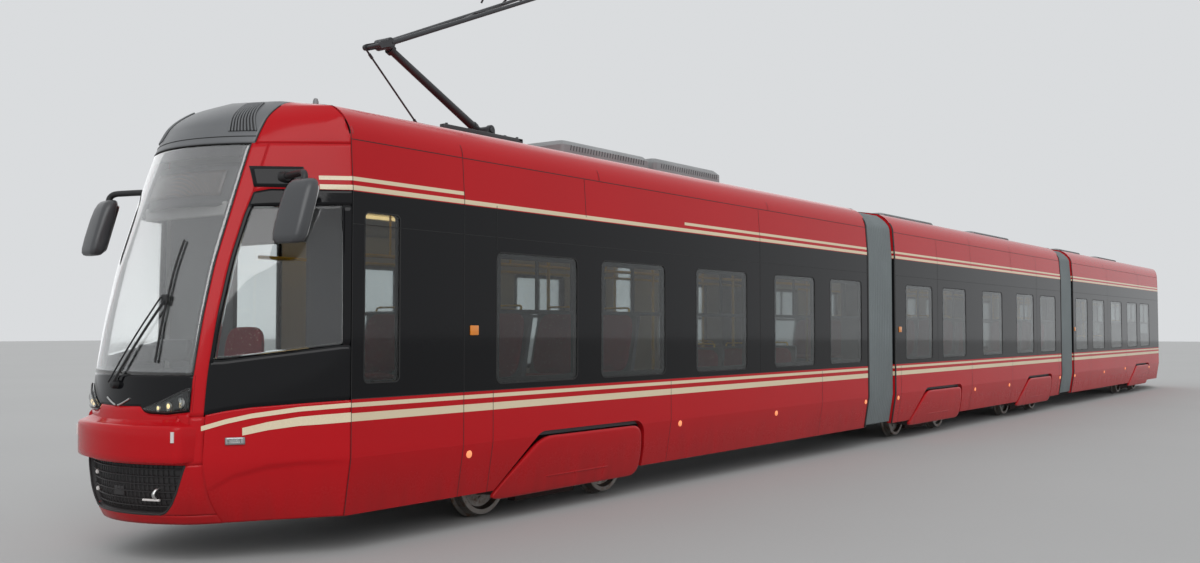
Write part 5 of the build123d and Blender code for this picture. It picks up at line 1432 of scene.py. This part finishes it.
upper_parts = [crossbar(*HEEL, -0.09, 0.09, 0.016), crossbar(*HEAD, -0.40, 0.40, 0.018)]
for side in SIDES:
    upper_parts.append(crossbar(*KNEE, side * 0.0605, side * 0.090, 0.050, 24))
    start, stop = along_y([KNEE, HEAD], [side * 0.085, side * 0.33])
    upper_parts.append(tube(mixed(start, stop, ARM_STEPS), 0.024 - 0.007 * ARM_STEPS[:, 0], 14))
    upper_parts.append(link(KNEE, HEEL, side * 0.0855, side * 0.1045, 0.030))
    upper_parts.append(tube(mixed(start, stop, 0.82) + np.array([[0, 0, 0], [0, -side * 0.10, 0]]), 0.010, 8))
TIES = (0.30, 0.62)  # where bars tie the two tubes, as shares of their length
ends = [mixed(KNEE, HEAD, part) for part in TIES]
for part, end in zip(TIES, ends):
    y = 0.085 + 0.245 * part
    upper_parts.append(crossbar(*end, -y, y, 0.010, 10))
for side in SIDES:
    upper_parts.append(tube(along_y(ends, [side * 0.158, -side * 0.237]), 0.007, 6))
piece("pantograph_upper_tubes", upper_parts, dark_metal, body="upper_arm", replaces=["pantograph_upper_arm"])

ROD_Y = 0.1155
way = (HEEL - ROD) / np.linalg.norm(HEEL - ROD)
rod_parts = [tube(along_y([ROD + way * 0.018, HEEL - way * 0.018], ROD_Y), 0.009, 12)]
rod_parts += [crossbar(*end, 0.1056, 0.1254, 0.026) for end in (ROD, HEEL)]
for centre in (mixed(ROD, HEEL, 0.10), mixed(ROD, HEEL, 0.90)):
    rod_parts.append(tube(along_y([centre - way * 0.025, centre + way * 0.025], ROD_Y), 0.014, 6))
piece("pantograph_rod", rod_parts, dark_metal, body="coupling_rod", replaces=["pantograph_coupling_rod"])

hx, hz = HEAD
STRIP_SHIFT = 0.15
cradle, strips, carbons = [crossbar(hx, hz + 0.06, -0.42, 0.42, 0.016)], [], []
for side in SIDES:
    cradle.append(link((hx, hz), (hx, hz + 0.055), side * 0.3655, side * 0.3845, 0.030))
    for shift in (-STRIP_SHIFT, STRIP_SHIFT):
        arm = [(hx, hz + 0.06), (hx + shift * 0.55, hz + 0.075), (hx + shift, hz + 0.128)]
        arm = along_y(arm, side * 0.40)
        cradle.append(tube(bent(arm, 0.05), 0.011, 10))
        horn = ((0.49, 0.133), (0.60, 0.128), (0.76, 0.040), (0.80, -0.018))
        horn = [(hx + shift, side * y, hz + up) for y, up in horn]
        cradle.append(tube(bent(horn, 0.09, 7), 0.011, 10))
for x in (hx - STRIP_SHIFT, hx + STRIP_SHIFT):
    strips.append(round_block(x - 0.020, x + 0.020, -0.50, 0.50, hz + 0.120, hz + 0.136, 0.004))
    carbons.append(round_block(x - 0.018, x + 0.018, -0.48, 0.48, hz + 0.135, hz + 0.1495, 0.005))
piece("collector_cradle", cradle, dark_metal, body="collector_head", replaces=["pantograph_head"])
piece("collector_rails", strips, aluminium, "pantograph_metal", body="collector_head")
piece("collector_carbons", carbons, carbon, body="collector_head")


# Wheelsets and the bogies' fittings

WHEEL = [
    # radius and place across the wheel, from the hub's inside round the flange and tread
    (0.0705, 0.662), (0.108, 0.664), (0.118, 0.690), (0.128, 0.728), (0.180, 0.734), (0.228, 0.722),
    (0.246, 0.700), (0.254, 0.691), (0.318, 0.690), (0.325, 0.695), (0.328, 0.703), (0.324, 0.713),
    (0.312, 0.719), (0.304, 0.727), (0.299, 0.770), (0.297, 0.810), (0.293, 0.815), (0.254, 0.815),
    (0.246, 0.806), (0.232, 0.770), (0.205, 0.762), (0.135, 0.764), (0.121, 0.776), (0.116, 0.806),
    (0.108, 0.814), (0.0705, 0.815),
]
HALF_AXLE = [(0.070, 0.8195), (0.060, 0.822), (0.060, 0.899), (0.056, 0.903)]
HALF_DRUM = [(0.156, 0.09), (0.150, 0.098), (0.071, 0.10)]
BOX_LID = [(0.098, 0.912), (0.100, 0.918), (0.096, 0.936), (0.070, 0.944), (0.030, 0.946)]
STUD = [(0.014, 0.762), (0.014, 0.772), (0.008, 0.776)]
STUD_CIRCLE, HALF_WHEELBASE = 0.158, 0.9


def both_ways(half):
    """A profile that is the same on both sides of its middle."""
    return [(radius, -place) for radius, place in half[::-1]] + half


for number, bogie in enumerate([x for places in BOGIES.values() for x in places], start=1):
    for end, shift in (("front", -HALF_WHEELBASE), ("rear", HALF_WHEELBASE)):
        centre = (bogie + shift, 0, WHEEL_HEIGHT)
        rolling = sided(lathe(WHEEL, centre, "y", 56))
        rolling += [lathe(both_ways(half), centre, "y", 32) for half in (HALF_AXLE, HALF_DRUM)]
        for turn in np.arange(8) * np.pi / 4:
            spot = centre + STUD_CIRCLE * np.array([math.cos(turn), 0, math.sin(turn)])
            rolling += sided(lathe(STUD, spot, "y", 6))
        name = f"bogie_{number}_{end}_wheel"
        piece(f"{name}s_turned", rolling, wheel_steel, body=f"{name}s", smooth=30, replaces=[f"{name}set"])
    fittings = []
    for side in SIDES:
        for shift in (-HALF_WHEELBASE, HALF_WHEELBASE):
            lid = lathe(BOX_LID, (bogie + shift, 0, WHEEL_HEIGHT), "y", 24)
            fittings.append(lid if side > 0 else mirror_y(lid))
        damper = np.linspace((bogie - 0.42, side * 0.93, 0.30), (bogie + 0.42, side * 0.93, 0.42), 5)
        fittings.append(tube(damper, [0.014, 0.014, 0.024, 0.024, 0.024], 14))
    piece(f"bogie_{number}_fittings", fittings, bogie_dark, body=f"bogie_{number}")


# Door buttons beside the leaves' meeting edges, and sills

for car, places in LEAVES.items():
    buttons, collars, sills = [], [], []
    y, half = float(body_half(1.26)), float(body_half(0.31))
    for x0, x1 in places:
        single = not any(abs(x0 - b) < 0.01 or abs(x1 - a) < 0.01 for a, b in places)
        x = x1 - 0.045 if single or any(abs(x1 - a) < 0.01 for a, b in places) else x0 + 0.045
        centre = (x, 0, 1.26)
        collars.append(lathe([(0.030, y - 0.002), (0.030, y + 0.004), (0.026, y + 0.006)], centre, "y", 20))
        knob = [(0.022, y), (0.022, y + 0.008), (0.018, y + 0.011), (0.004, y + 0.012)]
        buttons.append(lathe(knob, centre, "y", 20))
        sills.append(round_block(x0 + 0.02, x1 - 0.02, half - 0.05, half - 0.012, 0.318, 0.332, 0.004))
    body = f"{car}_car"
    piece(f"{car}_door_buttons", buttons, lamp_amber, body=body)
    piece(f"{car}_door_button_rings", collars, bright_steel, body=body)
    piece(f"{car}_door_sills", sills, aluminium, body=body)


# The tail's fittings

TAIL_LEVELS = np.array([
    # height, middle and corner before the rearmost point, half width of the corner
    (0.28, 0.110, 0.260, 0.820), (0.70, 0.0, 0.150, 0.860), (1.2, 0.02, 0.170, 0.860),
    (3.03, 0.160, 0.300, 0.830), (3.26, 0.260, 0.390, 0.780), (3.39, 0.420, 0.520, 0.700),
])


def on_tail(y, z, lift=0.0):
    """Points on the tail: an arc across it whose rise and half width follow the levels."""
    y, z = np.broadcast_arrays(np.asarray(y, float), np.asarray(z, float))
    middle, corner, half = (np.interp(z, TAIL_LEVELS[:, 0], TAIL_LEVELS[:, k]) for k in (1, 2, 3))
    rise = corner - middle
    radius = (half**2 + rise**2) / (2 * rise)
    behind = middle + radius - np.sqrt(np.maximum(radius**2 - y**2, 1e-6))
    return spots(TAIL - behind + lift, y, z)


def tail_patch(y0, y1, z0, z1, rows, columns, lift):
    """A sheet on the tail: even steps across it and up it, between four edges."""
    u = np.linspace(0, 1, columns)[None, :]
    return grid(on_tail(y0 + (y1 - y0) * u, np.linspace(z0, z1, rows)[:, None], lift))


def tail_bar(y, z, lift, radius, sides, closed=False):
    """A bar that lies on the tail."""
    return tube(on_tail(y, z, lift), radius, sides, closed)


rear = dict(body="rear_car", smooth=50)
SURROUND = [(-0.82, -0.735, 1.40, 2.70, 24, 4), (0.735, 0.82, 1.40, 2.70, 24, 4),
            (-0.735, 0.735, 1.40, 1.505, 4, 30), (-0.735, 0.735, 2.595, 2.70, 4, 30)]
surround = [tail_patch(*edges, 0.002) for edges in SURROUND]
piece("tail_black_surround", surround, gloss_black, wall=0.0015, **rear)
lower_grille = tail_patch(-0.55, 0.55, 0.36, 0.62, 6, 30, 0.003)
piece("tail_grille_sheet", [lower_grille], black_plastic, wall=0.003, **rear)
slats = [tail_bar(np.linspace(-0.53, 0.53, 24), z, 0.006, 0.006, 6) for z in np.linspace(0.39, 0.59, 6)]
piece("tail_grille_bars", slats, black_plastic, **rear)
lens, amber, bezels = [], [], []
corners = round_polygon([(0.645, 0.905), (0.788, 0.905), (0.797, 1.175), (0.662, 1.175)], 0.02, 4)
LENS_LOOPS = [(corners, -0.03), (corners, 0.004), (shrink(corners, 0.006), 0.010),
              (shrink(corners, 0.016), 0.012)]
for side in SIDES:
    loops = [on_tail(side * flat[:, 0], flat[:, 1], lift) for flat, lift in LENS_LOOPS]
    lens.append(capped(loops, flip=side > 0))
    bezels.append(tail_bar(side * corners[:, 0], corners[:, 1], 0.003, 0.007, 6, closed=True))
    for z, radius, store in ((1.12, 0.038, amber), (1.035, 0.036, lens), (0.955, 0.030, lens)):
        rings = [(radius, -0.004), (radius, 0.004), (radius * 0.8, 0.008), (radius * 0.2, 0.010)]
        store.append(lathe(rings, on_tail(side * 0.722, z, 0.012), "x", 20))
rear["smooth"] = 40
piece("tail_lamp_lenses", lens, lamp_red, replaces=["tail_lamps"], **rear)
piece("tail_turn_lenses", amber, lamp_amber, **rear)
piece("tail_lamp_bezels", bezels, black_plastic, **rear)
rear_lines = [tail_bar(np.linspace(-0.86, 0.86, 40), z, lift, 0.003, 5)
              for z, lift in ((0.70, -0.0035), (1.33, 0.0005), (2.86, 0.0005))]
corners = round_polygon([(-0.74, 1.50), (0.74, 1.50), (0.72, 2.60), (-0.72, 2.60)], 0.01, 3)
steps = np.linspace(0, 1, 12, endpoint=False)[None, :, None]
edge = mixed(corners[:, None], np.roll(corners, -1, 0)[:, None], steps).reshape(-1, 2)
rear_lines.append(tail_bar(edge[:, 0], edge[:, 1], 0.002, 0.006, 6, closed=True))
piece("tail_seams", rear_lines, seal, **rear)
tail_wiper = [lathe([(0.026, -0.01), (0.026, 0.020), (0.012, 0.028)], on_tail(0.0, 1.44), "x", 16),
              tube(np.linspace(on_tail(0.0, 1.44, 0.024), on_tail(0.28, 1.92, 0.022), 6), 0.008, 8),
              tail_bar(0.28, np.linspace(1.60, 2.24, 20), 0.012, 0.006, 8)]
piece("tail_wiper", tail_wiper, black_plastic, **rear)


def camera_and_light():
    """The photograph's viewpoint, a soft sky and two broad suns. Seen directly, through glass or in
    a reflection, the sky is a plain grey; its light is a little bluer."""
    data = bpy.data.cameras.new("camera")
    data.lens, data.sensor_width, data.clip_end = 35.22, 36.0, 400.0
    camera = bpy.data.objects.new("camera", data)
    camera.location = (-20.666, -7.640, 1.641)
    yaw, pitch = math.radians(35.858), math.radians(2.285)
    ahead = Vector((math.cos(yaw) * math.cos(pitch), math.sin(yaw) * math.cos(pitch), math.sin(pitch)))
    camera.rotation_euler = ahead.to_track_quat("-Z", "Y").to_euler()
    scene = bpy.context.scene
    scene.collection.objects.link(camera)
    scene.camera = camera
    scene.view_settings.view_transform = "Standard"
    world = bpy.data.worlds.new("soft_sky")
    scene.world = world
    world.use_nodes = True
    shader = Shader(world.node_tree)
    sky = world.node_tree.nodes["Background"]
    path = world.node_tree.nodes.new("ShaderNodeLightPath")
    seen = shader.maths("MAXIMUM", path.outputs["Is Camera Ray"], path.outputs["Is Transmission Ray"])
    seen = shader.maths("MAXIMUM", seen, path.outputs["Is Glossy Ray"])
    shader.put(sky.inputs["Color"], shader.mix(seen, (0.95, 0.975, 1.0), (0.70, 0.715, 0.73)))
    shader.put(sky.inputs["Strength"], shader.ramp(seen, 0, 1, 0.60, 1.0))
    for name, power, spread, place in (
        ("sky_light", 1.35, 50, (-14, -14, 16)),
        ("fill_light", 0.35, 70, (14, 18, 14)),
    ):
        lamp = bpy.data.lights.new(name, "SUN")
        lamp.energy, lamp.angle = power, math.radians(spread)
        holder = bpy.data.objects.new(name, lamp)
        holder.location = place
        holder.rotation_euler = (Vector((0, 0, 1)) - Vector(place)).to_track_quat("-Z", "Y").to_euler()
        scene.collection.objects.link(holder)


camera_and_light()
ground = material("studio_floor", None, (0.46, 0.46, 0.455), 0.75, vary=0.04, patch=0.2, grain=30.0)
wide = np.linspace(-140, 140, 15)
floor = piece("studio_floor", [grid(spots(*np.meshgrid(wide, wide), -0.001))], ground, body=None, smooth=30)


# Finishes of the CAD nodes that are shown as they are: the longest key in a name counts

FINISHES = {
    "left_wall": paint,
    "right_wall": paint,
    "roof": paint,
    "doors": paint,
    "floor": floor_grey,
    "frame": bogie_dark,
    "tail_shell": paint,
    "rear_screen": dark_glass,
    "driver_desk": black_plastic,
    "cab_partition": cab_lining,
}
for name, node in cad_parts.items():
    found = max((key for key in FINISHES if key in name), key=len, default=None)
    if found:
        node.data.materials.clear()
        node.data.materials.append(FINISHES[found])
